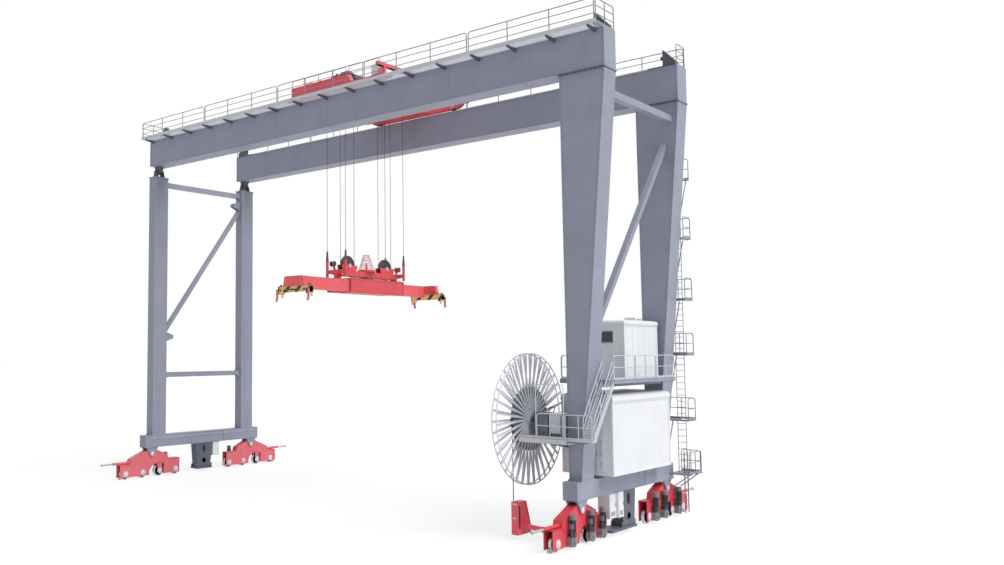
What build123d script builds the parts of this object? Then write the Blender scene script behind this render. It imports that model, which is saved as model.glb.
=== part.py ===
from build123d import *

from math import atan2, cos, degrees, radians, sin
import os

# Rail mounted stacking crane at full size, millimetres.
# +X runs along the girders, +Y along the runway, +Z up.
# The origin is midway between the two runway rails, at the foot of the wheels.

# Runway, wheels and bogies
gauge = 31100.0
wheel_tread_radius = 350.0
wheel_flange_radius = 375.0
wheel_tread_width = 110.0
wheel_flange_width = 25.0
wheel_pitch = 1370.0
wheel_well_gap = 35.0
axle_radius = 60.0
bogie_pivot_y = 4500.0
bogie_pivot_z = 1560.0
bogie_width = 400.0
bogie_wall = 65.0
bogie_outer_length = 2500.0
bogie_inner_length = 2330.0
bogie_floor_z = 150.0
bogie_mouth_low = 230.0
bogie_outer_top = 980.0
bogie_inner_top = 1130.0
bogie_ridge_top = 1780.0
bogie_ridge_half = 420.0
bogie_outer_shoulder = (1650.0, 1290.0)
bogie_inner_shoulder = (1300.0, 1420.0)
bogie_shoulder_run = 80.0
bogie_arch_radius = 340.0
bogie_slot_width = 90.0
bogie_slot_height = 550.0
motor_places = {-1: (-1600.0, -800.0), 1: (1100.0, -600.0, -1680.0)}
motor_radius = 145.0
motor_bottom = 640.0
motor_top = 1420.0
motor_cap_height = 90.0
motor_cap_lip = 18.0
motor_stand_off = 175.0
gearbox_radius = 250.0
gearbox_depth = 330.0
buffer_z = 1075.0
buffer_root = 1600.0
buffer_tube_radius = 75.0
buffer_tube_length = 1350.0
buffer_rod_radius = 45.0
buffer_length = 2250.0
pivot_pin_radius = 95.0
pivot_clearance = 0.05
pivot_eye_radius = 190.0
bracket_gap = 20.0
bracket_thickness = 70.0
bracket_half_length = 480.0

# Sills, pedestals and cabinets
sill_width = 695.0
sill_bottom = 1970.0
sill_top = 2770.0
sill_half_length = 5080.0
sill_plate = 40.0
sill_block_start = 1760.0
flange_lip = 25.0
pedestal_top_half = 740.0
pedestal_foot_half = 560.0
pedestal_width = 560.0
pedestal_bottom = 190.0
pedestal_foot_height = 110.0
pedestal_foot_lip = 100.0
pedestal_hole_radius = 150.0
pedestal_hole_height = 560.0
pedestal_hole_depth = 420.0
lug_length = 150.0
lug_height = 220.0
lug_thickness = 40.0
cabinet_depth = 560.0
cabinet_height = 1150.0
cabinet_lengths = (520.0, 640.0)
cabinet_step = 130.0
cabinet_gap = 55.0
left_cabinet_length = 600.0
left_cabinet_height = 950.0

# Legs and ties
leg_inner_y = 3430.0
leg_width = 1120.0
slender_leg_size = 650.0
slender_leg_top = 20350.0
tapered_foot_inner = 15250.0
tapered_foot_outer = 15840.0
tapered_head_inner = 15140.0
tapered_head_outer = 17350.0
base_plate = 50.0
base_plate_lip = 90.0
head_plate_lip = 60.0
leg_rim = 45.0
leg_rim_lip = 20.0
head_pin_radius = 90.0
head_eye_radius = 150.0
head_cheek_offset = 260.0
head_cheek_thickness = 70.0
head_cheek_half = 300.0
head_block_half = 180.0
head_pin_overhang = 75.0
tie_size = 330.0
tie_lower_z = 6800.0
tie_upper_z = 19900.0
tie_clevis_length = 240.0
tie_clevis_share = 0.45
brace_size = 260.0
brace_low_z = 9400.0
brace_high_z = 19150.0
right_tie_z = 20150.0
right_tie_inset = 412.0
right_brace_low_inset = 226.0
right_brace_high_inset = 630.0

# Girders and what runs along them
girder_width = 1120.0
girder_bottom = 21090.0
girder_top = 22890.0
girder_left_end = -15830.0
girder_right_end = 17350.0
girder_plate = 40.0
track_height = 130.0
track_width = 90.0
track_foot_width = 150.0
track_foot_height = 30.0
track_head_height = 42.0
track_web = 36.0
track_y = 3700.0
track_end_gap = 20.0
stop_height = 930.0
stop_low_height = 240.0
stop_base_height = 90.0
stop_face_inset = 760.0
stop_back_inset = 120.0
stop_base_reach = 800.0
stop_half_width = 190.0
stop_buffer_radius = 90.0
stop_buffer_length = 150.0
walkway_width = 760.0
walkway_plate = 50.0
walkway_bracket_drop = 230.0
walkway_bracket_pitch = 2030.0
walkway_bracket_thickness = 60.0
walkway_bracket_margin = 400.0
rail_height = 1100.0
rail_bar = 45.0
rail_post_pitch = 2060.0

# Houses and platforms on the right hand side
drive_house_inner_x = 14160.0
drive_house_outer_x = 16600.0
drive_house_half_length = 3060.0
drive_house_bottom = 2920.0
drive_house_top = 6240.0
drive_house_corner = 60.0
roof_lip = 45.0
roof_height = 90.0
roof_rise = 230.0
roof_run = 420.0
house_foot_width = 180.0
house_foot_y = 2400.0
house_foot_inset = 60.0
house_door_x = (15740.0, 16040.0)
house_door_z = (3270.0, 4440.0)
house_door_depth = 30.0
platform_inner_x = 14250.0
platform_outer_x = 16900.0
platform_near_y = -3400.0
platform_far_y = 3230.0
platform_top = 7200.0
platform_plate = 50.0
platform_fascia = 190.0
platform_edge = 60.0
platform_rib = 80.0
platform_rib_pitch = 1350.0
platform_beam_width = 200.0
platform_beam_depth = 300.0
platform_beam_x = (15370.0, 15970.0)
control_house_inner_x = 14380.0
control_house_outer_x = 16050.0
control_house_near_y = -500.0
control_house_far_y = 3160.0
control_house_top = 9780.0
control_house_corner = 50.0
vent_length = 800.0
vent_width = 550.0
vent_height = 260.0
stair_width = 540.0
stair_step_rise = 212.0
stair_run = 1950.0
stair_stringer = 45.0
stair_stringer_depth = 240.0
stair_foot_length = 190.0
stair_tread_plate = 30.0
stair_tread_going = 220.0
stair_rail_height = 900.0
stair_leg_gap = 130.0

# Cable reel, its platform and the cable guide
reel_x = 13000.0
reel_y = -4030.0
reel_z = 5352.0
reel_radius = 3030.0
reel_rim_bar = 45.0
reel_rim_spacing = 230.0
reel_hub_radius = 260.0
reel_hub_length = 330.0
reel_flange_radius = 560.0
reel_pack_radius = 1470.0
reel_spoke_count = 24
reel_spoke_width = 62.0
reel_spoke_thickness = 20.0
reel_shaft_radius = 110.0
reel_gearbox_x = (13420.0, 14050.0)
reel_gearbox_half = 330.0
tall_cabinet_x = (14130.0, 14580.0)
tall_cabinet_y = (-5150.0, -4350.0)
tall_cabinet_height = 1020.0
low_cabinet_x = (14650.0, 15200.0)
low_cabinet_y = (-5150.0, -4500.0)
low_cabinet_height = 1060.0
low_cabinet_leg = 180.0
low_cabinet_leg_inset = 60.0
reel_deck_inner_x = 13320.0
reel_deck_outer_x = 15720.0
reel_deck_near_y = -5550.0
reel_deck_far_y = -3300.0
reel_deck_top = 4650.0
reel_deck_depth = 230.0
reel_deck_step_width = 420.0
reel_deck_step_plate = 60.0
deck_bracket_y = (-5000.0, -3900.0)
deck_bracket_thickness = 120.0
deck_bracket_tip = 90.0
deck_bracket_root = 620.0
deck_bracket_inset = 250.0
portal_inner_x = 14170.0
portal_outer_x = 15550.0
portal_height = 2380.0
guide_x = 13030.0
guide_near_y = -5500.0
guide_far_y = -4420.0
guide_bottom = 230.0
guide_top = 1700.0
guide_width = 330.0
guide_head_length = 720.0
guide_knee_z = 620.0
guide_arm_y = -5050.0
guide_arm_size = 190.0
guide_arm_z = (640.0, 560.0, 860.0)
guide_arm_knee_x = 14300.0
guide_collar = 230.0
guide_bracket_size = 320.0
guide_bracket_depth = 70.0

# Access tower on the far right leg
tower_levels = (17350.0, 14250.0, 11100.0, 8300.0, 5000.0)
tower_outer_y = 5560.0
tower_inner_x = 15500.0
tower_outer_x = 16950.0
tower_plate = 60.0
tower_strut = 60.0
tower_strut_drop = 2100.0
tower_base_level = 2300.0
tower_base_far_y = 6100.0
tower_ladder_x = 16500.0
tower_ladder_y = 5000.0
tower_upper_ladder_inset = 300.0
ladder_width = 420.0
ladder_stile = 55.0
ladder_rung = 30.0
ladder_rung_pitch = 300.0
ladder_foot = 320.0

# Trolley
trolley_x = -240.0
trolley_left_reach = 2510.0
trolley_right_reach = 4540.0
trolley_tall_reach = 1890.0
trolley_tall_height = 990.0
trolley_carriage_width = 360.0
trolley_carriage_height = 520.0
trolley_carriage_gap = 90.0
trolley_nose = 320.0
trolley_wheel_radius = 250.0
trolley_wheel_width = 120.0
trolley_well_width = 170.0
trolley_well_gap = 30.0
trolley_axle_radius = 50.0
trolley_wheel_inset = 650.0
trolley_cross_width = 420.0
trolley_cross_height = 460.0
trolley_cross_offset = 2000.0
trolley_beam_y = 900.0
trolley_beam_width = 260.0
trolley_beam_height = 360.0
trolley_deck_plate = 40.0
trolley_deck_width = 800.0
trolley_end_beam = 200.0
trolley_end_beam_top = 24200.0
trolley_end_beam_half = 4300.0
trolley_buffer_radius = 90.0
trolley_buffer_length = 450.0
trolley_buffer_z = 23420.0
drum_radius = 420.0
drum_length = 5600.0
drum_offset_x = 1150.0
drum_lift = 520.0
drum_bearing_half = 260.0
drum_bearing_width = 120.0
drum_bearing_rise = 200.0
hoist_gearbox_half = 380.0
hoist_gearbox_width = 340.0
hoist_gearbox_height = 860.0
hoist_motor_radius = 200.0
hoist_motor_length = 700.0
hoist_motor_lift = 240.0
anchor_beam_half = 2650.0
anchor_beam_width = 220.0
anchor_post_width = 180.0
rope_radius = 14.0

# Headblock, ropes and spreader
block_z = 13440.0
block_sheave_radius = 600.0
block_sheave_width = 110.0
block_sheave_y = 1735.0
block_beam_low = 12820.0
block_beam_top = 13150.0
block_beam_half_length = 2850.0
block_beam_nose = 400.0
block_beam_nose_rise = 110.0
block_beam_width = 620.0
block_pocket_gap = 30.0
block_cheek_x = 170.0
block_cheek_thickness = 40.0
block_cheek_radius = 660.0
block_cheek_rise = 50.0
block_pin_radius = 70.0
block_foot_y = 2600.0
block_foot_half = 200.0
corner_rope_y = 2700.0
socket_bottom = 12750.0
socket_middle = 13700.0
socket_top = 14280.0
socket_radius = 75.0
socket_taper = 4.0
outrigger_width = 200.0
basket_radius = 560.0
basket_floor = 120.0
basket_wire = 40.0
basket_ring_levels = (520.0, 1100.0, 1700.0)
basket_post_count = 6
spreader_long_end = 2840.0
spreader_short_end = 2150.0
spreader_top = 12680.0
spreader_bottom = 11840.0
spreader_tube_width = 600.0
arm_width = 420.0
arm_height = 700.0
arm_clearance = 12.0
channel_floor = 60.0
arm_engagement = 1950.0
end_beam_y = 6096.0
end_beam_half_length = 1219.0
end_beam_width = 330.0
end_beam_top = 12050.0
end_beam_band_low = 11720.0
end_beam_bottom = 11600.0
end_beam_corner = 260.0
end_box_top_half = 690.0
end_box_low_half = 820.0
box_top = 11540.0
twistlock_radius = 55.0
twistlock_drop = 110.0
twistlock_pitch_across = 2259.0
twistlock_pitch_along = 11985.0
flipper_drop = 340.0
flipper_bend_drop = 150.0
flipper_width = 140.0
flipper_thickness = 40.0
flipper_shaft_radius = 40.0
flipper_shaft_gap = 20.0
flipper_flare = 60.0
flipper_overhang = 60.0
flipper_shaft_drop = 210.0
flipper_lug_x = 720.0
flipper_lug_width = 120.0
flipper_lug_radius = 75.0

# How round the round pieces are, and how close seated pieces lie
wheel_sides = 8
motor_sides = 8
round_sides = 8
small_sides = 6
rim_sides = 32
sheave_sides = 16
basket_sides = 12
seat_gap = 0.3

# Places worked out from the sizes above
rail_x = gauge / 2
leg_middle_y = leg_inner_y + leg_width / 2
leg_outer_y = leg_inner_y + leg_width
girder_length = girder_right_end - girder_left_end
track_top = girder_top + track_height
track_margin = stop_face_inset + stop_base_reach + track_end_gap
walkway_outer_y = leg_outer_y + walkway_width
leg_base = sill_top
tapered_height = girder_bottom - sill_top
head_pin_z = (slender_leg_top + girder_bottom) / 2
trolley_low = track_top + trolley_carriage_gap
trolley_top = trolley_low + trolley_carriage_height
trolley_left = trolley_x - trolley_left_reach
trolley_right = trolley_x + trolley_right_reach
trolley_wheel_x = (trolley_left + trolley_wheel_inset, trolley_right - trolley_wheel_inset)
drum_z = trolley_top + drum_lift
corner_rope_x = drum_offset_x - drum_radius - rope_radius
flipper_shaft_y = end_beam_y + end_beam_width / 2 + flipper_shaft_radius + flipper_shaft_gap
flipper_shaft_z = end_beam_top - flipper_shaft_drop
flipper_lug_reach = flipper_shaft_y - end_beam_y - end_beam_width / 2


def block(x_limits, y_limits, z_limits):
    """Add a rectangular block between three pairs of limits to the open part."""
    middle = (sum(x_limits) / 2, sum(y_limits) / 2, sum(z_limits) / 2)
    with Locations(middle):
        Box(x_limits[1] - x_limits[0], y_limits[1] - y_limits[0], z_limits[1] - z_limits[0])


def cut_block(x_limits, y_limits, z_limits):
    """Cut a rectangular block between three pairs of limits out of the open part."""
    middle = (sum(x_limits) / 2, sum(y_limits) / 2, sum(z_limits) / 2)
    with Locations(middle):
        Box(x_limits[1] - x_limits[0], y_limits[1] - y_limits[0], z_limits[1] - z_limits[0],
            mode=Mode.SUBTRACT)


def around(middle, half):
    """Return the pair of limits at half a width on both sides of a middle."""
    return (middle - half, middle + half)


def bar(start, end, width, depth=None, across=(1, 0, 0)):
    """Add a straight rectangular bar from start to end to the open part."""
    line = Vector(end) - Vector(start)
    with BuildSketch(Plane(origin=start, x_dir=across, z_dir=line)) as section:
        Rectangle(width, depth or width)
    extrude(section.sketch, amount=line.length)


def round_bar(plane, radius, length, sides=round_sides, taper=0):
    """Add a few-sided round bar along the normal of a plane, flat side down."""
    with BuildSketch(plane) as section:
        RegularPolygon(radius, sides, major_radius=False, rotation=180 / sides)
    extrude(section.sketch, amount=length, taper=taper)


def along_x(x, y, z):
    """Return a plane at a point that faces along the girders."""
    return Plane(origin=(x, y, z), x_dir=(0, 1, 0), z_dir=(1, 0, 0))


def along_y(x, y, z):
    """Return a plane at a point that faces along the runway."""
    return Plane(origin=(x, y, z), x_dir=(-1, 0, 0), z_dir=(0, 1, 0))


def side_profile(points, x_limits):
    """Extrude an outline given in Y and Z between two X limits."""
    with BuildSketch(Plane.YZ.offset(x_limits[0])) as outline:
        with BuildLine():
            Polyline(*points, close=True)
        make_face()
    extrude(outline.sketch, amount=x_limits[1] - x_limits[0])


def front_profile(points, y_limits):
    """Extrude an outline given in X and Z between two Y limits."""
    with BuildSketch(Plane.XZ.offset(-y_limits[1])) as outline:
        with BuildLine():
            Polyline(*points, close=True)
        make_face()
    extrude(outline.sketch, amount=y_limits[1] - y_limits[0])


def save(builder, name):
    """Name a finished piece and write it out."""
    builder.part.label = name
    export_step(builder.part, f"parts/{name}.step")


def evenly(first, last, pitch):
    """Return places from first to last, spaced by about one pitch."""
    count = max(1, round(abs(last - first) / pitch))
    return [first + (last - first) * step / count for step in range(count + 1)]


def tapered_inner_x(z):
    """Inner face of the tapered legs at a height."""
    share = (z - leg_base) / tapered_height
    return tapered_foot_inner + (tapered_head_inner - tapered_foot_inner) * share


def tapered_outer_x(z):
    """Outer face of the tapered legs at a height."""
    share = (z - leg_base) / tapered_height
    return tapered_foot_outer + (tapered_head_outer - tapered_foot_outer) * share


def railing(start, end, base_z, rails=3, height=rail_height):
    """Add one flat guard rail panel, posts and rails, between two plan points."""
    run = Vector(end[0] - start[0], end[1] - start[1], 0)
    side = Vector(0, 0, 1).cross(run.normalized())
    across = (side.X, side.Y, 0)
    for distance in evenly(0, run.length - rail_bar, rail_post_pitch):
        foot = Vector(start[0], start[1], base_z) + run.normalized() * (distance + rail_bar / 2)
        bar(foot, foot + Vector(0, 0, height), rail_bar, across=across)
    for level in range(1, rails + 1):
        z = base_z + height * level / rails - rail_bar / 2
        bar((start[0], start[1], z), (end[0], end[1], z), rail_bar, across=across)


def build_girder(name, side):
    """One box girder with lipped flanges and closed ends."""
    middle = side * leg_middle_y
    web = girder_width / 2 - flange_lip
    y_limits = around(middle, girder_width / 2)
    with BuildPart() as girder:
        with BuildSketch(Plane.YZ.offset(girder_left_end)):
            with Locations((middle, (girder_bottom + girder_top) / 2)):
                Rectangle(2 * web, girder_top - girder_bottom)
            for level in (girder_bottom + girder_plate / 2, girder_top - girder_plate / 2):
                with Locations((middle, level)):
                    Rectangle(girder_width, girder_plate)
        extrude(amount=girder_length)
        block((girder_right_end - girder_plate, girder_right_end), y_limits, (girder_bottom, girder_top))
        block((girder_left_end, girder_left_end + girder_plate), y_limits, (girder_bottom, girder_top))
    save(girder, name)


def build_trolley_tracks():
    """Two rails for the trolley, foot, web and head, one along the top of each girder."""
    with BuildPart() as tracks:
        with BuildSketch(Plane.YZ.offset(girder_left_end + track_margin)):
            for side in (-1, 1):
                with Locations((side * track_y, girder_top + track_foot_height / 2)):
                    Rectangle(track_foot_width, track_foot_height)
                with Locations((side * track_y, girder_top + track_height / 2)):
                    Rectangle(track_web, track_height)
                with Locations((side * track_y, track_top - track_head_height / 2)):
                    Rectangle(track_width, track_head_height)
        extrude(amount=girder_length - 2 * track_margin)
    save(tracks, "trolley_tracks")


def build_end_stops():
    """Four wedge shaped buffer stops, one at each end of each girder."""
    with BuildPart() as stops:
        for side in (-1, 1):
            limits = around(side * track_y, stop_half_width)
            for end_x, inward in ((girder_left_end, 1), (girder_right_end, -1)):
                face = end_x + inward * stop_face_inset
                back = end_x + inward * stop_back_inset
                toe = face + inward * stop_base_reach
                front_profile(((back, girder_top), (toe, girder_top), (toe, girder_top + stop_base_height),
                               (face, girder_top + stop_base_height), (face, girder_top + stop_height),
                               (back, girder_top + stop_low_height)), limits)
                start = Plane(origin=(face, side * track_y, trolley_buffer_z), x_dir=(0, 1, 0),
                              z_dir=(inward, 0, 0))
                round_bar(start, stop_buffer_radius, stop_buffer_length, small_sides)
    save(stops, "end_stops")


def build_walkways():
    """Outboard walkway along the near girder, on triangular brackets."""
    inner = -leg_outer_y
    outer = -walkway_outer_y
    low = girder_top - walkway_plate
    with BuildPart() as walkways:
        block((girder_left_end, girder_right_end), (outer, inner), (low, girder_top))
        first = girder_left_end + walkway_bracket_margin
        last = girder_right_end - walkway_bracket_margin
        for x in evenly(first, last, walkway_bracket_pitch):
            side_profile(((inner, low), (outer, low), (outer, low - walkway_plate),
                          (inner, girder_top - walkway_bracket_drop)),
                         around(x, walkway_bracket_thickness / 2))
    save(walkways, "girder_walkways")


def build_girder_railings():
    """Guard rails along the walkway and the far girder, and across the girder ends."""
    with BuildPart() as rails:
        near = -walkway_outer_y + rail_bar
        far = leg_outer_y - rail_bar
        for y in (near, far):
            railing((girder_left_end, y), (girder_right_end, y), girder_top)
        for x in (girder_left_end + rail_bar, girder_right_end - rail_bar):
            railing((x, near + rail_bar), (x, -leg_inner_y - rail_bar), girder_top)
            railing((x, leg_inner_y + rail_bar), (x, far - rail_bar), girder_top)
    save(rails, "girder_railings")


def build_slender_leg(name, side):
    """Slender hinged leg on the left sill."""
    middle = side * leg_middle_y
    y_limits = around(middle, leg_width / 2)
    z_limits = (leg_base, slender_leg_top)
    half = slender_leg_size / 2
    with BuildPart() as leg:
        block(around(-rail_x, half - leg_rim_lip), y_limits, z_limits)
        for edge in (-rail_x - half + leg_rim / 2, -rail_x + half - leg_rim / 2):
            block(around(edge, leg_rim / 2), y_limits, z_limits)
        block(around(-rail_x, sill_width / 2 - 5), around(middle, (leg_width + base_plate_lip) / 2),
              (leg_base, leg_base + base_plate))
        block(around(-rail_x, half + base_plate_lip / 2), around(middle, (leg_width + base_plate_lip) / 2),
              (slender_leg_top - base_plate, slender_leg_top))
    save(leg, name)


def build_tapered_leg(name, side):
    """Tapered leg that carries the girder stiffly on the right sill."""
    low, high = sorted((side * leg_inner_y, side * leg_outer_y))
    outline = ((tapered_foot_inner, leg_base), (tapered_foot_outer, leg_base),
               (tapered_head_outer, girder_bottom), (tapered_head_inner, girder_bottom))
    with BuildPart() as leg:
        front_profile(outline, (low + leg_rim_lip, high - leg_rim_lip))
        with BuildSketch(Plane.XZ.offset(-high)):
            with BuildLine():
                Polyline(*outline, close=True)
            make_face()
            with BuildLine():
                Polyline((outline[0][0] + leg_rim, leg_base), (outline[1][0] - leg_rim, leg_base),
                         (outline[2][0] - leg_rim, girder_bottom),
                         (outline[3][0] + leg_rim, girder_bottom), close=True)
            make_face(mode=Mode.SUBTRACT)
        extrude(amount=high - low)
        middle = (tapered_foot_inner + tapered_foot_outer) / 2
        y_limits = around(side * leg_middle_y, (leg_width + base_plate_lip) / 2)
        block(around(middle, sill_width / 2 - 5), y_limits, (leg_base, leg_base + base_plate))
        block((tapered_head_inner - head_plate_lip / 2, tapered_head_outer + head_plate_lip / 2),
              around(side * leg_middle_y, (leg_width + head_plate_lip) / 2),
              (girder_bottom - base_plate, girder_bottom))
    save(leg, name)


def build_leg_bearings():
    """Pinned heads of the slender legs: two cheeks, a pin and a tapered girder bracket."""
    with BuildPart() as bearings:
        for side in (-1, 1):
            middle = side * leg_middle_y
            for offset in (-head_cheek_offset, head_cheek_offset):
                y_limits = around(middle + offset, head_cheek_thickness / 2)
                front_profile(((-rail_x - head_cheek_half, slender_leg_top),
                               (-rail_x + head_cheek_half, slender_leg_top),
                               (-rail_x + head_eye_radius, head_pin_z),
                               (-rail_x - head_eye_radius, head_pin_z)), y_limits)
                round_bar(along_y(-rail_x, y_limits[0], head_pin_z), head_eye_radius, head_cheek_thickness)
            front_profile(((girder_left_end, girder_bottom), (-rail_x + head_cheek_half, girder_bottom),
                           (-rail_x + head_eye_radius, head_pin_z), (-rail_x - head_eye_radius, head_pin_z)),
                          around(middle, head_block_half))
            round_bar(along_y(-rail_x, middle - head_block_half, head_pin_z), head_eye_radius,
                      2 * head_block_half)
            pin_half = head_cheek_offset + head_cheek_thickness / 2 + head_pin_overhang
            round_bar(along_y(-rail_x, middle - pin_half, head_pin_z), head_pin_radius, 2 * pin_half)
    save(bearings, "leg_bearings")


def build_sill(name, side):
    """Sill beam with deep end blocks and the bogie brackets under both ends."""
    middle = side * rail_x
    web = sill_width / 2 - flange_lip
    cheek_inner = bogie_width / 2 + bracket_gap
    full = around(middle, sill_width / 2)
    with BuildPart() as sill:
        block(around(middle, web), (-sill_block_start, sill_block_start), (sill_bottom, sill_top))
        for level in (sill_bottom, sill_top - sill_plate):
            block(full, (-sill_block_start, sill_block_start), (level, level + sill_plate))
        for end in (-1, 1):
            block(full, sorted((end * sill_block_start, end * sill_half_length)), (sill_bottom, sill_top))
            pivot = end * bogie_pivot_y
            for cheek in (-1, 1):
                near, far = sorted((middle + cheek * cheek_inner,
                                    middle + cheek * (cheek_inner + bracket_thickness)))
                with BuildSketch(Plane.YZ.offset(near)):
                    with BuildLine():
                        Polyline((pivot - bracket_half_length, sill_bottom),
                                 (pivot + bracket_half_length, sill_bottom),
                                 (pivot + pivot_eye_radius, bogie_pivot_z),
                                 (pivot - pivot_eye_radius, bogie_pivot_z), close=True)
                    make_face()
                    with Locations((pivot, bogie_pivot_z)):
                        RegularPolygon(pivot_eye_radius, round_sides)
                        RegularPolygon(pivot_pin_radius + pivot_clearance, round_sides, major_radius=False,
                                       rotation=180 / round_sides, mode=Mode.SUBTRACT)
                extrude(amount=far - near)
    save(sill, name)


def build_pedestals():
    """Centre pedestals under both sills, each with a long round-ended hole, lugs and a foot."""
    slot_half = pedestal_hole_height / 2 - pedestal_hole_radius
    with BuildPart() as pedestals:
        for side in (-1, 1):
            middle = side * rail_x
            hole_z = sill_bottom - pedestal_hole_depth
            side_profile(((-pedestal_top_half, sill_bottom), (pedestal_top_half, sill_bottom),
                          (pedestal_foot_half, pedestal_bottom), (-pedestal_foot_half, pedestal_bottom)),
                         around(middle, pedestal_width / 2))
            with BuildSketch(Plane.YZ.offset(middle - pedestal_width / 2)) as hole:
                with Locations((0, hole_z)):
                    Rectangle(2 * pedestal_hole_radius, 2 * slot_half)
                for end in (-1, 1):
                    with Locations((0, hole_z + end * slot_half)):
                        RegularPolygon(pedestal_hole_radius, round_sides)
            extrude(hole.sketch, amount=pedestal_width, mode=Mode.SUBTRACT)
            foot_near = -pedestal_foot_half - pedestal_foot_lip
            if side > 0:
                foot_near = -pedestal_top_half - cabinet_gap - sum(cabinet_lengths)
            block(around(middle, pedestal_width / 2 + pedestal_foot_lip),
                  (foot_near, pedestal_foot_half + pedestal_foot_lip),
                  (pedestal_bottom, pedestal_bottom + pedestal_foot_height))
            for end in (-1, 1):
                y_limits = sorted((end * pedestal_foot_half, end * (pedestal_foot_half + lug_length)))
                for face in (-1, 1):
                    x = middle + face * (pedestal_width - lug_thickness) / 2
                    low = pedestal_bottom + pedestal_foot_height
                    block(around(x, lug_thickness / 2), y_limits, (low, low + lug_height))
    save(pedestals, "sill_pedestals")


def build_ties():
    """Lower and upper ties and a diagonal brace between each pair of legs."""
    inner = leg_inner_y - tie_clevis_length
    with BuildPart() as left:
        for level in (tie_lower_z, tie_upper_z):
            bar((-rail_x, -inner, level), (-rail_x, inner, level), tie_size)
            for side in (-1, 1):
                bar((-rail_x, side * inner, level), (-rail_x, side * leg_inner_y, level),
                    tie_size * tie_clevis_share, 2 * tie_size * tie_clevis_share)
        reach = leg_inner_y + brace_size
        bar((-rail_x, -reach, brace_low_z), (-rail_x, reach, brace_high_z), brace_size)
        for side in (-1, 1):
            limits = sorted((side * leg_inner_y, side * leg_outer_y))
            cut_block(around(-rail_x, brace_size), limits, (tie_lower_z, tie_upper_z))
    save(left, "left_ties")
    tie_x = tapered_outer_x(right_tie_z) - right_tie_inset
    brace_low_x = tapered_outer_x(brace_low_z) - right_brace_low_inset
    brace_high_x = tapered_outer_x(brace_high_z) - right_brace_high_inset
    seat_y = leg_inner_y + leg_rim_lip
    with BuildPart() as right:
        bar((tie_x, -seat_y, right_tie_z), (tie_x, seat_y, right_tie_z), tie_size)
        reach = seat_y + brace_size
        bar((brace_low_x, -reach, brace_low_z), (brace_high_x, reach, brace_high_z), brace_size)
        for side in (-1, 1):
            limits = sorted((side * seat_y, side * leg_outer_y))
            cut_block((tapered_foot_inner, tapered_head_outer), limits, (tie_lower_z, tie_upper_z))
    save(right, "right_ties")


def roof_slab(x_limits, y_limits, base_z):
    """Add the flat roof edge that stands out past the walls to the open part."""
    block((x_limits[0] - roof_lip, x_limits[1] + roof_lip),
          (y_limits[0] - roof_lip, y_limits[1] + roof_lip), (base_z, base_z + roof_height))


def hipped_roof(x_limits, y_limits, base_z, rise, run):
    """Add a low hipped roof over a rectangle to the open part."""
    with BuildSketch(Plane.XY.offset(base_z)) as eaves:
        with Locations((sum(x_limits) / 2, sum(y_limits) / 2)):
            Rectangle(x_limits[1] - x_limits[0], y_limits[1] - y_limits[0])
    extrude(eaves.sketch, amount=rise, taper=degrees(atan2(run, rise)))


def build_drive_house():
    """Closed electrical house between the tapered legs, on feet over the sill."""
    x_limits = (drive_house_inner_x, drive_house_outer_x)
    y_limits = (-drive_house_half_length, drive_house_half_length)
    with BuildPart() as house:
        block(x_limits, y_limits, (drive_house_bottom, drive_house_top))
        chamfer(house.edges().filter_by(Axis.Z), drive_house_corner)
        roof_slab(x_limits, y_limits, drive_house_top)
        hipped_roof(x_limits, y_limits, drive_house_top + roof_height, roof_rise, roof_run)
        for y in (-house_foot_y, 0, house_foot_y):
            block(around(rail_x, sill_width / 2 - house_foot_inset), around(y, house_foot_width / 2),
                  (sill_top, drive_house_bottom))
        cut_block(house_door_x, (y_limits[0], y_limits[0] + house_door_depth), house_door_z)
    save(house, "drive_house")


def build_control_house():
    """Upper equipment house on the platform, with a roof cap and a roof vent."""
    x_limits = (control_house_inner_x, control_house_outer_x)
    y_limits = (control_house_near_y, control_house_far_y)
    with BuildPart() as house:
        block(x_limits, y_limits, (platform_top, control_house_top))
        chamfer(house.edges().filter_by(Axis.Z), control_house_corner)
        roof_slab(x_limits, y_limits, control_house_top)
        hipped_roof(x_limits, y_limits, control_house_top + roof_height, roof_height, roof_run)
        vent_x = sum(x_limits) / 2
        vent_y = y_limits[1] - vent_length
        vent_low = control_house_top + roof_height
        block(around(vent_x, vent_width / 2), around(vent_y, vent_length / 2),
              (vent_low, vent_low + vent_height))
    save(house, "control_house")


def build_house_platform():
    """Platform over the drive house: deck, edge channel, ribs and carrying beams between the legs."""
    y_limits = (platform_near_y, platform_far_y)
    x_limits = (platform_inner_x, platform_outer_x)
    edge_z = (platform_top - platform_fascia, platform_top)
    with BuildPart() as platform:
        block(x_limits, y_limits, (platform_top - platform_plate, platform_top))
        for x in (x_limits[0] + platform_edge / 2, x_limits[1] - platform_edge / 2):
            block(around(x, platform_edge / 2), y_limits, edge_z)
        for y in (y_limits[0] + platform_edge / 2, y_limits[1] - platform_edge / 2):
            block(x_limits, around(y, platform_edge / 2), edge_z)
        for x in platform_beam_x:
            block(around(x, platform_beam_width / 2), (-leg_inner_y, leg_inner_y),
                  (platform_top - platform_plate - platform_beam_depth, platform_top - platform_plate))
        ribs = evenly(y_limits[0] + platform_edge / 2, y_limits[1] - platform_edge / 2, platform_rib_pitch)
        for y in ribs[1:-1]:
            block(x_limits, around(y, platform_rib / 2), edge_z)
    save(platform, "house_platform")


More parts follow.
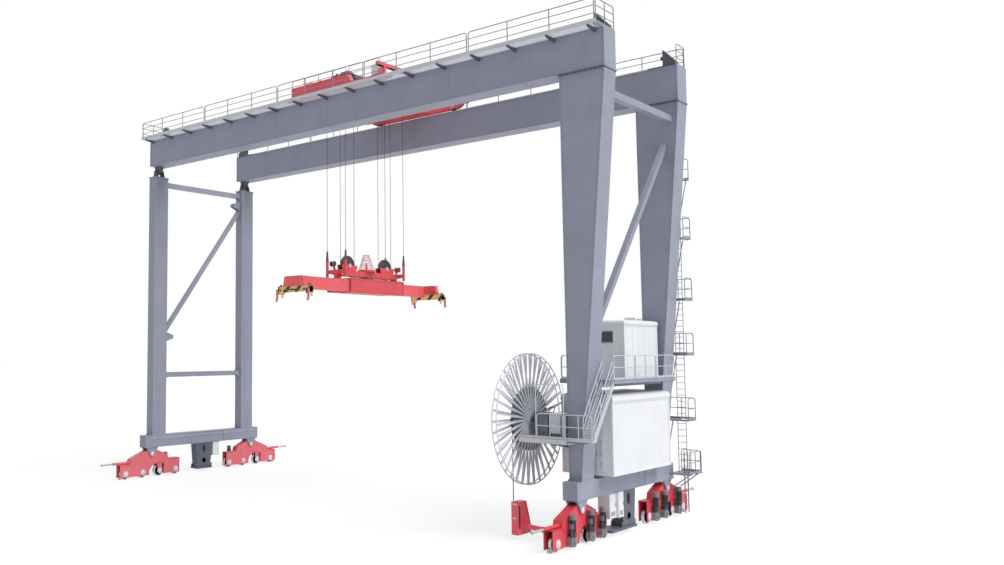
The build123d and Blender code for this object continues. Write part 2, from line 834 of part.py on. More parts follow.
def build_platform_railings():
    """Guard rails round the upper platform and the reel platform, and the lifting portal."""
    outer = platform_outer_x - rail_bar
    inner = platform_inner_x + rail_bar
    near = platform_near_y + rail_bar
    with BuildPart() as rails:
        railing((outer, near), (outer, platform_far_y), platform_top, rails=2)
        railing((inner, near), (inner, platform_far_y), platform_top, rails=2)
        railing((inner + rail_bar, near), (tapered_foot_inner - rail_bar, near), platform_top, rails=2)
        deck_near = reel_deck_near_y + rail_bar
        railing((portal_inner_x, deck_near), (reel_deck_outer_x, deck_near), reel_deck_top, rails=2)
        stair_outer = tapered_outer_x(platform_top) + stair_leg_gap + stair_width
        railing((reel_deck_outer_x, deck_near), (stair_outer, deck_near), reel_deck_top, rails=2)
        portal_top = reel_deck_top + portal_height
        for x in (portal_inner_x + rail_bar / 2, portal_outer_x):
            bar((x, deck_near, reel_deck_top), (x, deck_near, portal_top), rail_bar)
        bar((portal_inner_x, deck_near, portal_top), (portal_outer_x + rail_bar / 2, deck_near, portal_top),
            rail_bar, across=(0, 1, 0))
    save(rails, "platform_railings")


def build_reel_platform():
    """Bracketed deck on the near right leg that carries the reel drive and the stair foot."""
    x_limits = (reel_deck_inner_x, reel_deck_outer_x)
    low = reel_deck_top - reel_deck_depth
    leg_near = -leg_outer_y
    leg_face = tapered_inner_x(reel_deck_top)
    with BuildPart() as platform:
        with BuildSketch(Plane.XY.offset(low)):
            with BuildLine():
                Polyline((x_limits[0], reel_deck_near_y), (x_limits[1], reel_deck_near_y),
                         (x_limits[1], leg_near), (leg_face, leg_near),
                         (leg_face, reel_deck_far_y), (x_limits[0], reel_deck_far_y), close=True)
            make_face()
        extrude(amount=reel_deck_depth)
        tip = x_limits[0] + deck_bracket_inset
        for y in deck_bracket_y:
            front_profile(((leg_face, low), (tip, low), (tip, low - deck_bracket_tip),
                           (leg_face, low - deck_bracket_root)), around(y, deck_bracket_thickness / 2))
        stair_inner = tapered_outer_x(platform_top) + stair_leg_gap
        block((reel_deck_outer_x, stair_inner + stair_width),
              (reel_deck_near_y, reel_deck_near_y + reel_deck_step_width),
              (reel_deck_top - reel_deck_step_plate, reel_deck_top))
    save(platform, "reel_platform")


def build_stair():
    """Steep stair from the reel platform up to the house platform."""
    inner = tapered_outer_x(platform_top) + stair_leg_gap
    outer = inner + stair_width
    top_y = platform_near_y
    foot_y = top_y - stair_run
    total_rise = platform_top - reel_deck_top
    steps = round(total_rise / stair_step_rise)
    half_plate = stair_stringer / 2
    with BuildPart() as stair:
        for x in (inner, outer - stair_stringer):
            side_profile(((foot_y, reel_deck_top), (foot_y + stair_foot_length, reel_deck_top),
                          (top_y, platform_top - 2 * stair_stringer_depth), (top_y, platform_top),
                          (foot_y, reel_deck_top + stair_stringer_depth / 2)), (x, x + stair_stringer))
        for step in range(1, steps):
            y = foot_y + stair_run * step / steps
            z = reel_deck_top + total_rise * step / steps
            block((inner + stair_stringer, outer - stair_stringer), around(y, stair_tread_going / 2),
                  (z - stair_tread_plate, z))
        for x in (inner + half_plate, outer - half_plate):
            for place in (1 / steps, 0.5, 1 - 1 / steps):
                y = foot_y + stair_run * place
                z = reel_deck_top + total_rise * place
                bar((x, y, z - stair_stringer_depth / 2), (x, y, z + stair_rail_height), rail_bar)
            for lift in (stair_rail_height / 2, stair_rail_height):
                low = Vector(x, foot_y, reel_deck_top + lift)
                top = Vector(x, top_y, platform_top + lift)
                bar(low, top, rail_bar)
    save(stair, "platform_stair")


def build_reel():
    """Cable reel: two rims on flat spokes from a flanged hub, and the wound cable between them."""
    spoke_inner = reel_flange_radius - reel_rim_bar / 2
    spoke_outer = reel_radius - reel_rim_bar / 2
    with BuildPart() as reel:
        for side in (-1, 1):
            middle = along_x(reel_x + side * reel_rim_spacing / 2, reel_y, reel_z)
            with BuildSketch(middle.offset(-reel_rim_bar / 2)) as rim:
                RegularPolygon(reel_radius, rim_sides)
                RegularPolygon(reel_radius - reel_rim_bar, rim_sides, mode=Mode.SUBTRACT)
            extrude(rim.sketch, amount=reel_rim_bar)
            with BuildSketch(middle.offset(-reel_spoke_thickness / 2)) as spokes:
                RegularPolygon(reel_flange_radius, sheave_sides)
                with PolarLocations((spoke_inner + spoke_outer) / 2, reel_spoke_count):
                    Rectangle(spoke_outer - spoke_inner, reel_spoke_width)
            extrude(spokes.sketch, amount=reel_spoke_thickness)
        round_bar(along_x(reel_x - reel_hub_length / 2, reel_y, reel_z), reel_hub_radius, reel_hub_length)
    save(reel, "cable_reel")
    pack_half = (reel_rim_spacing - reel_spoke_thickness) / 2 - seat_gap
    hub_corner = reel_hub_radius / cos(radians(180 / round_sides))
    with BuildPart() as pack:
        with BuildSketch(along_x(reel_x - pack_half, reel_y, reel_z)):
            RegularPolygon(reel_pack_radius, rim_sides)
            RegularPolygon(hub_corner + seat_gap, round_sides, rotation=180 / round_sides, mode=Mode.SUBTRACT)
        extrude(amount=2 * pack_half)
    save(pack, "reel_cable_pack")


def build_reel_drive():
    """Gearbox, shaft and drive cabinets on the reel platform."""
    hub_end = reel_x + reel_hub_length / 2 + seat_gap
    with BuildPart() as drive:
        block(reel_gearbox_x, around(reel_y, reel_gearbox_half), (reel_deck_top, reel_z + reel_gearbox_half))
        round_bar(along_x(hub_end, reel_y, reel_z), reel_shaft_radius, reel_gearbox_x[0] - hub_end)
        block(tall_cabinet_x, tall_cabinet_y, (reel_deck_top, reel_deck_top + tall_cabinet_height))
        block(low_cabinet_x, low_cabinet_y,
              (reel_deck_top + low_cabinet_leg, reel_deck_top + low_cabinet_height))
        inset = low_cabinet_leg_inset
        block((low_cabinet_x[0] + inset, low_cabinet_x[1] - inset),
              (low_cabinet_y[0] + inset, low_cabinet_y[1] - inset),
              (reel_deck_top, reel_deck_top + low_cabinet_leg))
    save(drive, "reel_drive")


def build_bogie(name, side, end):
    """Four wheel bogie: a peaked equaliser box with wheel wells, an arch, a buffer and its pivot pin."""
    middle = side * rail_x
    pivot = end * bogie_pivot_y
    half = bogie_width / 2
    inner_half = half - bogie_wall
    outer_y, outer_z = bogie_outer_shoulder
    inner_y, inner_z = bogie_inner_shoulder
    outline = ((bogie_outer_length, bogie_floor_z), (bogie_outer_length, bogie_outer_top),
               (outer_y + bogie_shoulder_run, bogie_outer_top), (outer_y, outer_z),
               (bogie_ridge_half, bogie_ridge_top), (-bogie_ridge_half, bogie_ridge_top),
               (-inner_y, inner_z), (-inner_y - bogie_shoulder_run, bogie_inner_top),
               (-bogie_inner_length, bogie_inner_top), (-bogie_inner_length, bogie_floor_z))
    well = wheel_flange_radius + wheel_well_gap
    with BuildPart() as bogie:
        side_profile([(pivot + end * y, z) for y, z in outline], around(middle, half))
        with BuildSketch(Plane.YZ.offset(middle - half)) as cuts:
            with Locations((pivot, bogie_floor_z)):
                RegularPolygon(bogie_arch_radius, round_sides)
            with Locations((pivot + end * wheel_pitch, bogie_floor_z)):
                Rectangle(bogie_slot_width, 2 * bogie_slot_height)
        extrude(cuts.sketch, amount=bogie_width, mode=Mode.SUBTRACT)
        for place in (-1.5, -0.5, 0.5, 1.5):
            cut_block(around(middle, inner_half), around(pivot + place * wheel_pitch, well),
                      (0, wheel_flange_radius + well))
        mouth = sorted((pivot + end * 1.5 * wheel_pitch, pivot + end * bogie_outer_length))
        cut_block(around(middle, inner_half), mouth, (bogie_mouth_low, wheel_flange_radius + well))
        pin_half = half + bracket_gap + bracket_thickness
        with BuildSketch(along_x(middle - pin_half, pivot, bogie_pivot_z)) as pin:
            RegularPolygon(pivot_pin_radius, round_sides)
        extrude(pin.sketch, amount=2 * pin_half)
        root = Plane(origin=(middle, pivot + end * buffer_root, buffer_z), x_dir=(1, 0, 0), z_dir=(0, end, 0))
        round_bar(root, buffer_tube_radius, buffer_tube_length, motor_sides)
        round_bar(root, buffer_rod_radius, buffer_length, small_sides)
    save(bogie, name)


def build_wheels(name, side, end):
    """Four flanged wheels on their axles inside one bogie."""
    middle = side * rail_x
    half_tread = wheel_tread_width / 2
    flange = half_tread + wheel_flange_width
    axle_half = bogie_width / 2 - bogie_wall
    with BuildPart() as wheels:
        for place in (-1.5, -0.5, 0.5, 1.5):
            y = end * bogie_pivot_y + place * wheel_pitch
            for start in (-flange, half_tread):
                round_bar(along_x(middle + start, y, wheel_flange_radius), wheel_flange_radius,
                          wheel_flange_width, wheel_sides)
            round_bar(along_x(middle - half_tread, y, wheel_flange_radius), wheel_tread_radius,
                      wheel_tread_width, wheel_sides)
            for start in (-axle_half, flange):
                round_bar(along_x(middle + start, y, wheel_flange_radius), axle_radius,
                          axle_half - flange, small_sides)
    save(wheels, name)


def build_motors(name, side, end):
    """Upright gear motors beside one bogie, each on a round gearbox at a wheel."""
    face = side * (rail_x + bogie_width / 2)
    with BuildPart() as motors:
        for place in motor_places[side]:
            y = end * (bogie_pivot_y + place)
            low_x = min(face, face + side * gearbox_depth)
            round_bar(along_x(low_x, y, wheel_flange_radius + seat_gap), gearbox_radius, gearbox_depth)
            motor_x = face + side * motor_stand_off
            low_z = wheel_flange_radius
            round_bar(Plane((motor_x, y, low_z)), motor_radius, motor_top - low_z, motor_sides)
            round_bar(Plane((motor_x, y, motor_top)), motor_radius + motor_cap_lip, motor_cap_height,
                      motor_sides)
            block(around(motor_x, motor_stand_off), around(y, motor_radius),
                  (motor_bottom - motor_cap_height, motor_bottom))
    save(motors, name)


def build_cable_guide():
    """Cable guide box on a bent arm from the near right bogie."""
    x_limits = around(guide_x, guide_width / 2)
    bogie_face = rail_x - bogie_width / 2
    start_z, knee_z, end_z = guide_arm_z
    bracket_y = guide_arm_y - guide_bracket_size / 2
    with BuildPart() as guide:
        side_profile(((guide_near_y, guide_bottom), (guide_far_y, guide_bottom), (guide_far_y, guide_knee_z),
                      (guide_near_y + guide_head_length, guide_top), (guide_near_y, guide_top)), x_limits)
        bar((guide_x, guide_arm_y, start_z), (guide_arm_knee_x, guide_arm_y, knee_z), guide_arm_size,
            across=(0, 1, 0))
        bar((guide_arm_knee_x, guide_arm_y, knee_z), (bogie_face, bracket_y, end_z),
            guide_arm_size - guide_bracket_depth / 2, across=(0, 1, 0))
        block(around(guide_arm_knee_x, guide_collar / 2), around(guide_arm_y, guide_collar / 2),
              around(knee_z, guide_collar / 2))
        block((bogie_face - guide_bracket_depth, bogie_face), around(bracket_y, guide_bracket_size / 2),
              around(end_z, guide_bracket_size / 2))
        cut_block((bogie_face, rail_x), around(bracket_y, guide_bracket_size / 2),
                  around(end_z, guide_bracket_size))
    save(guide, "cable_guide")


def build_cabinets():
    """Cabinets that hang beside the pedestals under the sills."""
    with BuildPart() as cabinets:
        far = -pedestal_top_half - cabinet_gap
        for index, length in enumerate(cabinet_lengths):
            x_limits = (rail_x - cabinet_depth / 2, rail_x + cabinet_depth / 2 + (1 - index) * cabinet_step)
            block(x_limits, (far - length, far), (sill_bottom - cabinet_height, sill_bottom))
            far -= length
        near = pedestal_top_half + cabinet_gap
        block(around(-rail_x, cabinet_depth / 2), (near, near + left_cabinet_length),
              (sill_bottom - left_cabinet_height, sill_bottom))
    save(cabinets, "sill_cabinets")


def ladder(x, y, low, high):
    """Add a ladder of two stiles and its rungs to the open part, with its climb facing +X."""
    for stile_y in (y, y + ladder_width):
        bar((x, stile_y, low), (x, stile_y, high), ladder_stile)
    for z in evenly(low + ladder_rung_pitch, high - ladder_rung_pitch, ladder_rung_pitch):
        bar((x, y, z), (x, y + ladder_width, z), ladder_rung)


def build_tower():
    """Landings, struts, ladders and guard rails up the far side of the far right leg."""
    base_inner_x = rail_x + sill_width / 2
    strut_y = tower_outer_y - tower_plate
    with BuildPart() as tower:
        for index, level in enumerate(tower_levels):
            block((tower_inner_x, tower_outer_x), (leg_outer_y, tower_outer_y), (level - tower_plate, level))
            foot_z = level - tower_strut_drop
            strut_x = min(tower_outer_x - tower_strut, tapered_outer_x(foot_z) - tower_strut)
            bar((strut_x, strut_y, level - tower_plate), (strut_x, leg_outer_y + tower_strut / 2, foot_z),
                tower_strut)
            edge = tower_outer_y - rail_bar
            railing((tower_inner_x, edge), (tower_outer_x, edge), level, rails=2)
            below = tower_levels[index + 1] if index + 1 < len(tower_levels) else tower_base_level
            for stile in (0, ladder_width):
                stile_x = tower_outer_x - tower_upper_ladder_inset - stile
                bar((stile_x, tower_ladder_y, below), (stile_x, tower_ladder_y, level - tower_plate),
                    ladder_stile)
        block((base_inner_x, tower_outer_x), (leg_outer_y, tower_base_far_y),
              (tower_base_level - tower_plate, tower_base_level))
        railing((tower_outer_x - rail_bar, leg_outer_y), (tower_outer_x - rail_bar, tower_base_far_y),
                tower_base_level, rails=2)
        railing((base_inner_x, tower_base_far_y - rail_bar),
                (tower_outer_x - 2 * rail_bar, tower_base_far_y - rail_bar), tower_base_level, rails=2)
        ladder(tower_ladder_x, tower_ladder_y, ladder_foot, tower_base_level + rail_height)
    save(tower, "access_tower")


def build_trolley():
    """Trolley frame: an end carriage over each girder, cross members, decks and buffers."""
    low = trolley_low
    high = trolley_top
    tall = low + trolley_tall_height
    axle_z = track_top + trolley_wheel_radius + seat_gap
    step_x = trolley_x + trolley_tall_reach
    with BuildPart() as frame:
        for side in (-1, 1):
            nose_z = low + trolley_beam_height / 2
            front_profile(((trolley_left, nose_z), (trolley_left + trolley_nose, low),
                           (trolley_right - trolley_nose, low), (trolley_right, nose_z),
                           (trolley_right, high), (step_x + trolley_nose, high), (step_x, tall),
                           (trolley_left, tall)),
                          around(side * track_y, trolley_carriage_width / 2))
        for offset in (-1, 1):
            x = trolley_x + offset * trolley_cross_offset
            block(around(x, trolley_cross_width / 2), (-track_y, track_y),
                  (high - trolley_cross_height, high))
            block((trolley_x - trolley_cross_offset, trolley_x + trolley_cross_offset),
                  around(offset * trolley_beam_y, trolley_beam_width / 2), (high - trolley_beam_height, high))
        end_x = (trolley_right - trolley_end_beam, trolley_right)
        for side in (-1, 1):
            deck = sorted((side * (track_y - trolley_deck_width), side * track_y))
            block(around(trolley_x, trolley_cross_offset + trolley_cross_width / 2), deck,
                  (high, high + trolley_deck_plate))
            block(end_x, around(side * track_y, trolley_end_beam / 2), (high, trolley_end_beam_top))
        block(end_x, (-trolley_end_beam_half, trolley_end_beam_half),
              (trolley_end_beam_top - trolley_end_beam, trolley_end_beam_top))
        for side in (-1, 1):
            for start_x, outward in ((trolley_left, -1), (trolley_right, 1)):
                start = Plane(origin=(start_x, side * track_y, trolley_buffer_z), x_dir=(0, 1, 0),
                              z_dir=(outward, 0, 0))
                round_bar(start, trolley_buffer_radius, trolley_buffer_length, small_sides)
            well = trolley_wheel_radius + trolley_well_gap
            for x in trolley_wheel_x:
                cut_block(around(x, well), around(side * track_y, trolley_well_width / 2),
                          (track_top, axle_z + well))
    save(frame, "trolley_frame")
    with BuildPart() as wheels:
        for side in (-1, 1):
            for x in trolley_wheel_x:
                y = side * track_y
                round_bar(along_y(x, y - trolley_wheel_width / 2, axle_z), trolley_wheel_radius,
                          trolley_wheel_width, wheel_sides)
                stub = (trolley_well_width - trolley_wheel_width) / 2
                for start in (y - trolley_well_width / 2, y + trolley_wheel_width / 2):
                    round_bar(along_y(x, start, axle_z), trolley_axle_radius, stub, small_sides)
    save(wheels, "trolley_wheels")


def build_trolley_machinery():
    """Rope drums, bearing frames, gearboxes, motors and the rope anchor beam on the trolley."""
    base = trolley_top + trolley_deck_plate
    half = drum_length / 2
    with BuildPart() as machinery:
        for offset in (-1, 1):
            x = trolley_x + offset * drum_offset_x
            round_bar(along_y(x, -half, drum_z), drum_radius, drum_length, sheave_sides)
            for side in (-1, 1):
                y = side * (half + drum_bearing_width / 2)
                block(around(x, drum_bearing_half), around(y, drum_bearing_width / 2),
                      (base, drum_z + drum_bearing_rise))
            drive = -offset
            gearbox_y = drive * (half + drum_bearing_width + hoist_gearbox_width / 2)
            block(around(x, hoist_gearbox_half), around(gearbox_y, hoist_gearbox_width / 2),
                  (base, base + hoist_gearbox_height))
            motor_x = x - offset * hoist_gearbox_half
            motor = Plane(origin=(motor_x, gearbox_y, base + hoist_gearbox_height - hoist_motor_lift),
                          x_dir=(0, 1, 0), z_dir=(-offset, 0, 0))
            round_bar(motor, hoist_motor_radius, hoist_motor_length, motor_sides)
        block(around(trolley_x, anchor_beam_width / 2), (-anchor_beam_half, anchor_beam_half),
              (drum_z, drum_z + anchor_beam_width))
        for side in (-1, 1):
            block(around(trolley_x, anchor_post_width / 2),
                  around(side * trolley_beam_y, anchor_post_width / 2), (trolley_top, drum_z))
    save(machinery, "trolley_machinery")


def corner_rope_places():
    """Return the plan places of the four corner ropes."""
    return [(trolley_x + offset * corner_rope_x, side * corner_rope_y)
            for offset in (-1, 1) for side in (-1, 1)]


def build_hoist_ropes():
    """Eight hoist ropes: four from the drums to the corners, four falls to the sheaves."""
    falls = [(trolley_x, side * (block_sheave_y + turn * (block_sheave_radius + rope_radius)))
             for side in (-1, 1) for turn in (-1, 1)]
    with BuildPart() as ropes:
        for places, low, turn in ((corner_rope_places(), socket_top, 0), (falls, block_z, 90)):
            with BuildSketch(Plane.XY.offset(low)) as sections:
                with Locations(*places):
                    RegularPolygon(rope_radius, small_sides, rotation=turn)
            extrude(sections.sketch, amount=drum_z - low)
    save(ropes, "hoist_ropes")


def build_headblock():
    """Headblock: a beam with round sheave housings, rope sockets on outriggers and feet."""
    cheek_turns = [radians(180 + 180 * step / (round_sides / 2)) for step in range(round_sides // 2 + 1)]
    with BuildPart() as headblock:
        nose = block_beam_half_length - block_beam_nose
        rise = block_beam_low + block_beam_nose_rise
        side_profile(((-block_beam_half_length, rise), (-nose, block_beam_low), (nose, block_beam_low),
                      (block_beam_half_length, rise), (block_beam_half_length, block_beam_top),
                      (-block_beam_half_length, block_beam_top)), around(trolley_x, block_beam_width / 2))
        for side in (-1, 1):
            y = side * block_sheave_y
            housing = [(y + block_cheek_radius * cos(turn), block_z + block_cheek_radius * sin(turn))
                       for turn in cheek_turns if block_z + block_cheek_radius * sin(turn) > block_beam_low]
            top = block_z + block_cheek_rise
            outline = [(y - block_cheek_radius, top)] + housing + [(y + block_cheek_radius, top)]
            for cheek in (-1, 1):
                x = trolley_x + cheek * block_cheek_x
                side_profile(outline, around(x, block_cheek_thickness / 2))
            pin_half = block_cheek_x + block_cheek_thickness
            round_bar(along_x(trolley_x - pin_half, y, block_z), block_pin_radius, 2 * pin_half)
            pocket = block_sheave_radius + block_pocket_gap
            cut_block(around(trolley_x, block_sheave_width / 2 + block_pocket_gap), around(y, pocket),
                      (block_beam_low, block_beam_top))
            block(around(trolley_x, block_sheave_width), around(side * block_foot_y, block_foot_half),
                  (spreader_top + seat_gap, block_beam_low + block_beam_nose_rise))
        for x, y in corner_rope_places():
            socket = Plane((x, y, socket_bottom))
            round_bar(socket, socket_radius, socket_middle - socket_bottom, motor_sides)
            cone = Plane((x, y, socket_middle))
            round_bar(cone, socket_radius, socket_top - socket_middle, motor_sides, taper=socket_taper)
            block(sorted((trolley_x, x)), around(y, outrigger_width / 2),
                  (block_beam_low + block_beam_nose_rise, block_beam_top))
    save(headblock, "headblock")
    with BuildPart() as sheaves:
        with BuildSketch(Plane.YZ.offset(trolley_x - block_sheave_width / 2)) as wheels:
            for side in (-1, 1):
                with Locations((side * block_sheave_y, block_z)):
                    RegularPolygon(block_sheave_radius, sheave_sides)
                    RegularPolygon(block_pin_radius + seat_gap, round_sides, major_radius=False,
                                   rotation=180 / round_sides, mode=Mode.SUBTRACT)
        extrude(wheels.sketch, amount=block_sheave_width)
    save(sheaves, "headblock_sheaves")


def build_basket():
    """Cable basket on the headblock: a drum shaped floor, wire rings and posts."""
    post_radius = basket_radius - basket_wire / 2
    with BuildPart() as basket:
        round_bar(Plane((trolley_x, 0, block_beam_top)), basket_radius, basket_floor, basket_sides)
        for level in basket_ring_levels:
            with BuildSketch(Plane.XY.offset(block_beam_top + level)) as ring:
                with Locations((trolley_x, 0)):
                    RegularPolygon(basket_radius, basket_sides, major_radius=False)
                    RegularPolygon(basket_radius - basket_wire, basket_sides, major_radius=False,
                                   mode=Mode.SUBTRACT)
            extrude(ring.sketch, amount=basket_wire)
        for step in range(basket_post_count):
            turn = radians(360 * step / basket_post_count + 180 / basket_sides)
            foot = (trolley_x + post_radius * cos(turn), post_radius * sin(turn), block_beam_top)
            bar(foot, (foot[0], foot[1], block_beam_top + basket_ring_levels[-1]), basket_wire,
                across=(cos(turn), sin(turn), 0))
    save(basket, "cable_basket")


def build_spreader():
    """Spreader frame of two staggered tubes whose open mouths guide the telescopic arms."""
    channel_half = arm_width / 2 + arm_clearance
    channel_low = spreader_bottom + channel_floor
    channel_high = channel_low + seat_gap + arm_height + arm_clearance
    with BuildPart() as spreader:
        for side in (-1, 1):
            middle = trolley_x - side * spreader_tube_width / 2
            y_limits = sorted((side * spreader_short_end, -side * spreader_long_end))
            block(around(middle, spreader_tube_width / 2), y_limits, (spreader_bottom, spreader_top))
        for side in (-1, 1):
            middle = trolley_x - side * spreader_tube_width / 2
            cut_block(around(middle, channel_half), (-spreader_long_end, spreader_long_end),
                      (channel_low, channel_high))
    save(spreader, "spreader_frame")


def build_arm(name, side):
    """Telescopic arm: a sliding box, the end beam, its twistlocks and the flipper bearings."""
    low = spreader_bottom + channel_floor + seat_gap
    high = low + arm_height
    inner = side * (spreader_short_end - arm_engagement)
    outer = side * end_beam_y
    y_limits = around(side * end_beam_y, end_beam_width / 2)
    with BuildPart() as arm:
        middle = trolley_x - side * spreader_tube_width / 2
        block(around(middle, arm_width / 2), sorted((inner, outer)), (low, high))
        front_profile(((trolley_x - end_box_low_half, end_beam_top),
                       (trolley_x + end_box_low_half, end_beam_top),
                       (trolley_x + end_box_top_half, high), (trolley_x - end_box_top_half, high)), y_limits)
        block(around(trolley_x, end_beam_half_length), y_limits, (end_beam_band_low, end_beam_top))
        for offset in (-1, 1):
            edge = trolley_x + offset * end_beam_half_length
            block(sorted((edge, edge - offset * end_beam_corner)), y_limits, (end_beam_bottom, end_beam_top))
            lock = (trolley_x + offset * twistlock_pitch_across / 2, side * twistlock_pitch_along / 2,
                    box_top - twistlock_drop)
            round_bar(Plane(lock), twistlock_radius, end_beam_bottom - lock[2], small_sides)
        shaft_y = side * flipper_shaft_y
        for offset in (-1, 1):
            x = trolley_x + offset * flipper_lug_x
            with BuildSketch(Plane.YZ.offset(x - flipper_lug_width / 2)) as lug:
                with Locations((shaft_y - side * flipper_lug_reach / 2, flipper_shaft_z)):
                    Rectangle(flipper_lug_reach, 2 * flipper_lug_radius)
                with Locations((shaft_y, flipper_shaft_z)):
                    RegularPolygon(flipper_lug_radius, round_sides)
                    RegularPolygon(flipper_shaft_radius + seat_gap, round_sides, major_radius=False,
                                   rotation=180 / round_sides, mode=Mode.SUBTRACT)
            extrude(lug.sketch, amount=flipper_lug_width)
    save(arm, name)


def build_flippers(name, side):
    """Two corner guides on one cross shaft outside the end beam."""
    y = side * flipper_shaft_y
    z = flipper_shaft_z
    half = flipper_thickness / 2
    reach = end_beam_half_length + flipper_overhang
    bend_z = box_top - flipper_bend_drop
    tip_z = box_top - flipper_drop
    tip_y = y + side * flipper_flare
    with BuildPart() as flippers:
        with BuildSketch(along_x(trolley_x - reach, y, z)) as shaft:
            RegularPolygon(flipper_shaft_radius, round_sides)
        extrude(shaft.sketch, amount=2 * reach)
        for offset in (-1, 1):
            x = trolley_x + offset * (reach - flipper_width / 2)
            side_profile(((y - half, z + flipper_shaft_radius), (y + half, z + flipper_shaft_radius),
                          (y + half, bend_z), (tip_y + half, tip_z), (tip_y - half, tip_z),
                          (y - half, bend_z)), around(x, flipper_width / 2))
    save(flippers, name)


os.makedirs("parts", exist_ok=True)
build_girder("girder_near", -1)
build_girder("girder_far", 1)
build_trolley_tracks()
build_end_stops()
build_walkways()
build_girder_railings()
build_slender_leg("leg_left_near", -1)
build_slender_leg("leg_left_far", 1)
build_tapered_leg("leg_right_near", -1)
build_tapered_leg("leg_right_far", 1)
build_leg_bearings()
build_sill("sill_left", -1)
build_sill("sill_right", 1)
build_pedestals()
build_ties()
build_drive_house()
build_control_house()
build_house_platform()
build_platform_railings()
build_reel_platform()
build_stair()
build_reel()
build_reel_drive()
for hand, side_name in ((-1, "left"), (1, "right")):
    for end, end_name in ((-1, "near"), (1, "far")):
        build_bogie(f"bogie_{side_name}_{end_name}", hand, end)
        build_wheels(f"wheels_{side_name}_{end_name}", hand, end)
        build_motors(f"motors_{side_name}_{end_name}", hand, end)
build_cable_guide()
build_cabinets()
build_tower()
build_trolley()
build_trolley_machinery()
build_hoist_ropes()
build_headblock()
build_basket()
build_spreader()
for end, end_name in ((-1, "near"), (1, "far")):
    build_arm(f"spreader_arm_{end_name}", end)
    build_flippers(f"flippers_{end_name}", end)
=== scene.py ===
"""Looks of the rail mounted stacking crane: finishes, fittings, floor, light and camera."""
import logging
import math
from dataclasses import dataclass, field
from enum import Enum
from typing import Iterable, Sequence

import bmesh
import bpy
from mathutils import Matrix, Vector


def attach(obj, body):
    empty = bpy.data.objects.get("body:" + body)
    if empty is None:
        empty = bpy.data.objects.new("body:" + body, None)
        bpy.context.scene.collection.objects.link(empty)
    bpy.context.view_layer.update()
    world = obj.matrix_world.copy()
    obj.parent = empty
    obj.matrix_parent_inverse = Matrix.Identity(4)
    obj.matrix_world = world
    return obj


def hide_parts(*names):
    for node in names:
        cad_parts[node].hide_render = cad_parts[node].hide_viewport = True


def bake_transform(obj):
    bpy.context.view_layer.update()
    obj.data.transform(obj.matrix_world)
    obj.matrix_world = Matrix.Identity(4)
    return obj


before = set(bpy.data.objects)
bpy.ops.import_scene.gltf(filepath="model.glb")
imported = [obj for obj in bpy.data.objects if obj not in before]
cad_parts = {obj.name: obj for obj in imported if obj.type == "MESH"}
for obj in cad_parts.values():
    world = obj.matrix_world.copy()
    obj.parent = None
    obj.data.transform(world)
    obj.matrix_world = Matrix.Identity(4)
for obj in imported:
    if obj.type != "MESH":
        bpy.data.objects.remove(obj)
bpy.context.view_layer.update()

LOG = logging.getLogger("stacking_crane")
Colour = tuple[float, float, float]
Pair = tuple[float, float]
Place = Sequence[float]
Socket = bpy.types.NodeSocket
SIDES = (-1, 1)
UP = Vector((0.0, 0.0, 1.0))
X_AXIS = Vector((1.0, 0.0, 0.0))
Y_AXIS = Vector((0.0, 1.0, 0.0))
RUNWAY_X = 15.55
LEG_FACES_Y = (3.43, 4.55)
TROLLEY_X = -0.24


class Relief(Enum):
    """The fine relief that a finish carries."""

    PAINT = "sprayed paint"
    SPANGLE = "zinc crystals"
    CAST = "cast skin"
    STRANDS = "rope strands"


class Graph:
    """Adds and links the nodes of a material or of the sky."""

    def __init__(self, owner: bpy.types.Material | bpy.types.World, output: str = "OutputMaterial") -> None:
        """Clear the owner's nodes and add its output."""
        owner.use_nodes = True
        self.owner = owner
        self.tree = owner.node_tree
        self.tree.nodes.clear()
        self.output = self.add(output)

    def add(self, kind: str, inputs: dict[str | int, object] | None = None,
            **settings: object) -> bpy.types.Node:
        """Add a node.

        Args:
            kind: The node's type without its ShaderNode prefix.
            inputs: A value or an output socket for each named or numbered input.
            settings: Settings of the node itself.

        Returns:
            The new node.
        """
        node = self.tree.nodes.new("ShaderNode" + kind)
        for key, value in settings.items():
            setattr(node, key, value)
        for key, value in (inputs or {}).items():
            if isinstance(value, Socket):
                self.tree.links.new(value, node.inputs[key])
            else:
                node.inputs[key].default_value = value
        return node

    def finish(self, shader: bpy.types.Node) -> None:
        """Link a shader to the output."""
        self.tree.links.new(shader.outputs[0], self.output.inputs[0])

    def mix(self, factor: object, first: object, second: object) -> Socket:
        """Return the mix of two colours by a factor."""
        return self.add("Mix", {0: factor, 6: first, 7: second}, data_type="RGBA").outputs[2]

    def sum(self, operation: str, first: object, second: object = 0.0) -> Socket:
        """Return the result of a named operation on one or two values."""
        return self.add("Math", {0: first, 1: second}, operation=operation).outputs[0]

    def ramp(self, value: Socket, low: float, high: float, top: float = 1.0) -> Socket:
        """Return a value's place between two limits, as a share from nought to a top."""
        node = self.add("MapRange", {"Value": value, "From Min": low, "From Max": high, "To Max": top})
        return node.outputs["Result"]

    def noise(self, place: Socket, scale: float, detail: float = 3.0,
              stretch: Place = (1.0, 1.0, 1.0)) -> Socket:
        """Return the factor of a noise texture in metres, stretched along the axes."""
        mapping = self.add("Mapping", {"Vector": place, "Scale": tuple(stretch)}).outputs[0]
        return self.add("TexNoise", {"Vector": mapping, "Scale": scale, "Detail": detail}).outputs["Fac"]

    def seen_rays(self) -> Socket:
        """Return one for rays from the camera, glossy and transmission rays."""
        path = self.add("LightPath").outputs
        first = self.sum("MAXIMUM", path["Is Camera Ray"], path["Is Glossy Ray"])
        return self.sum("MAXIMUM", first, path["Is Transmission Ray"])


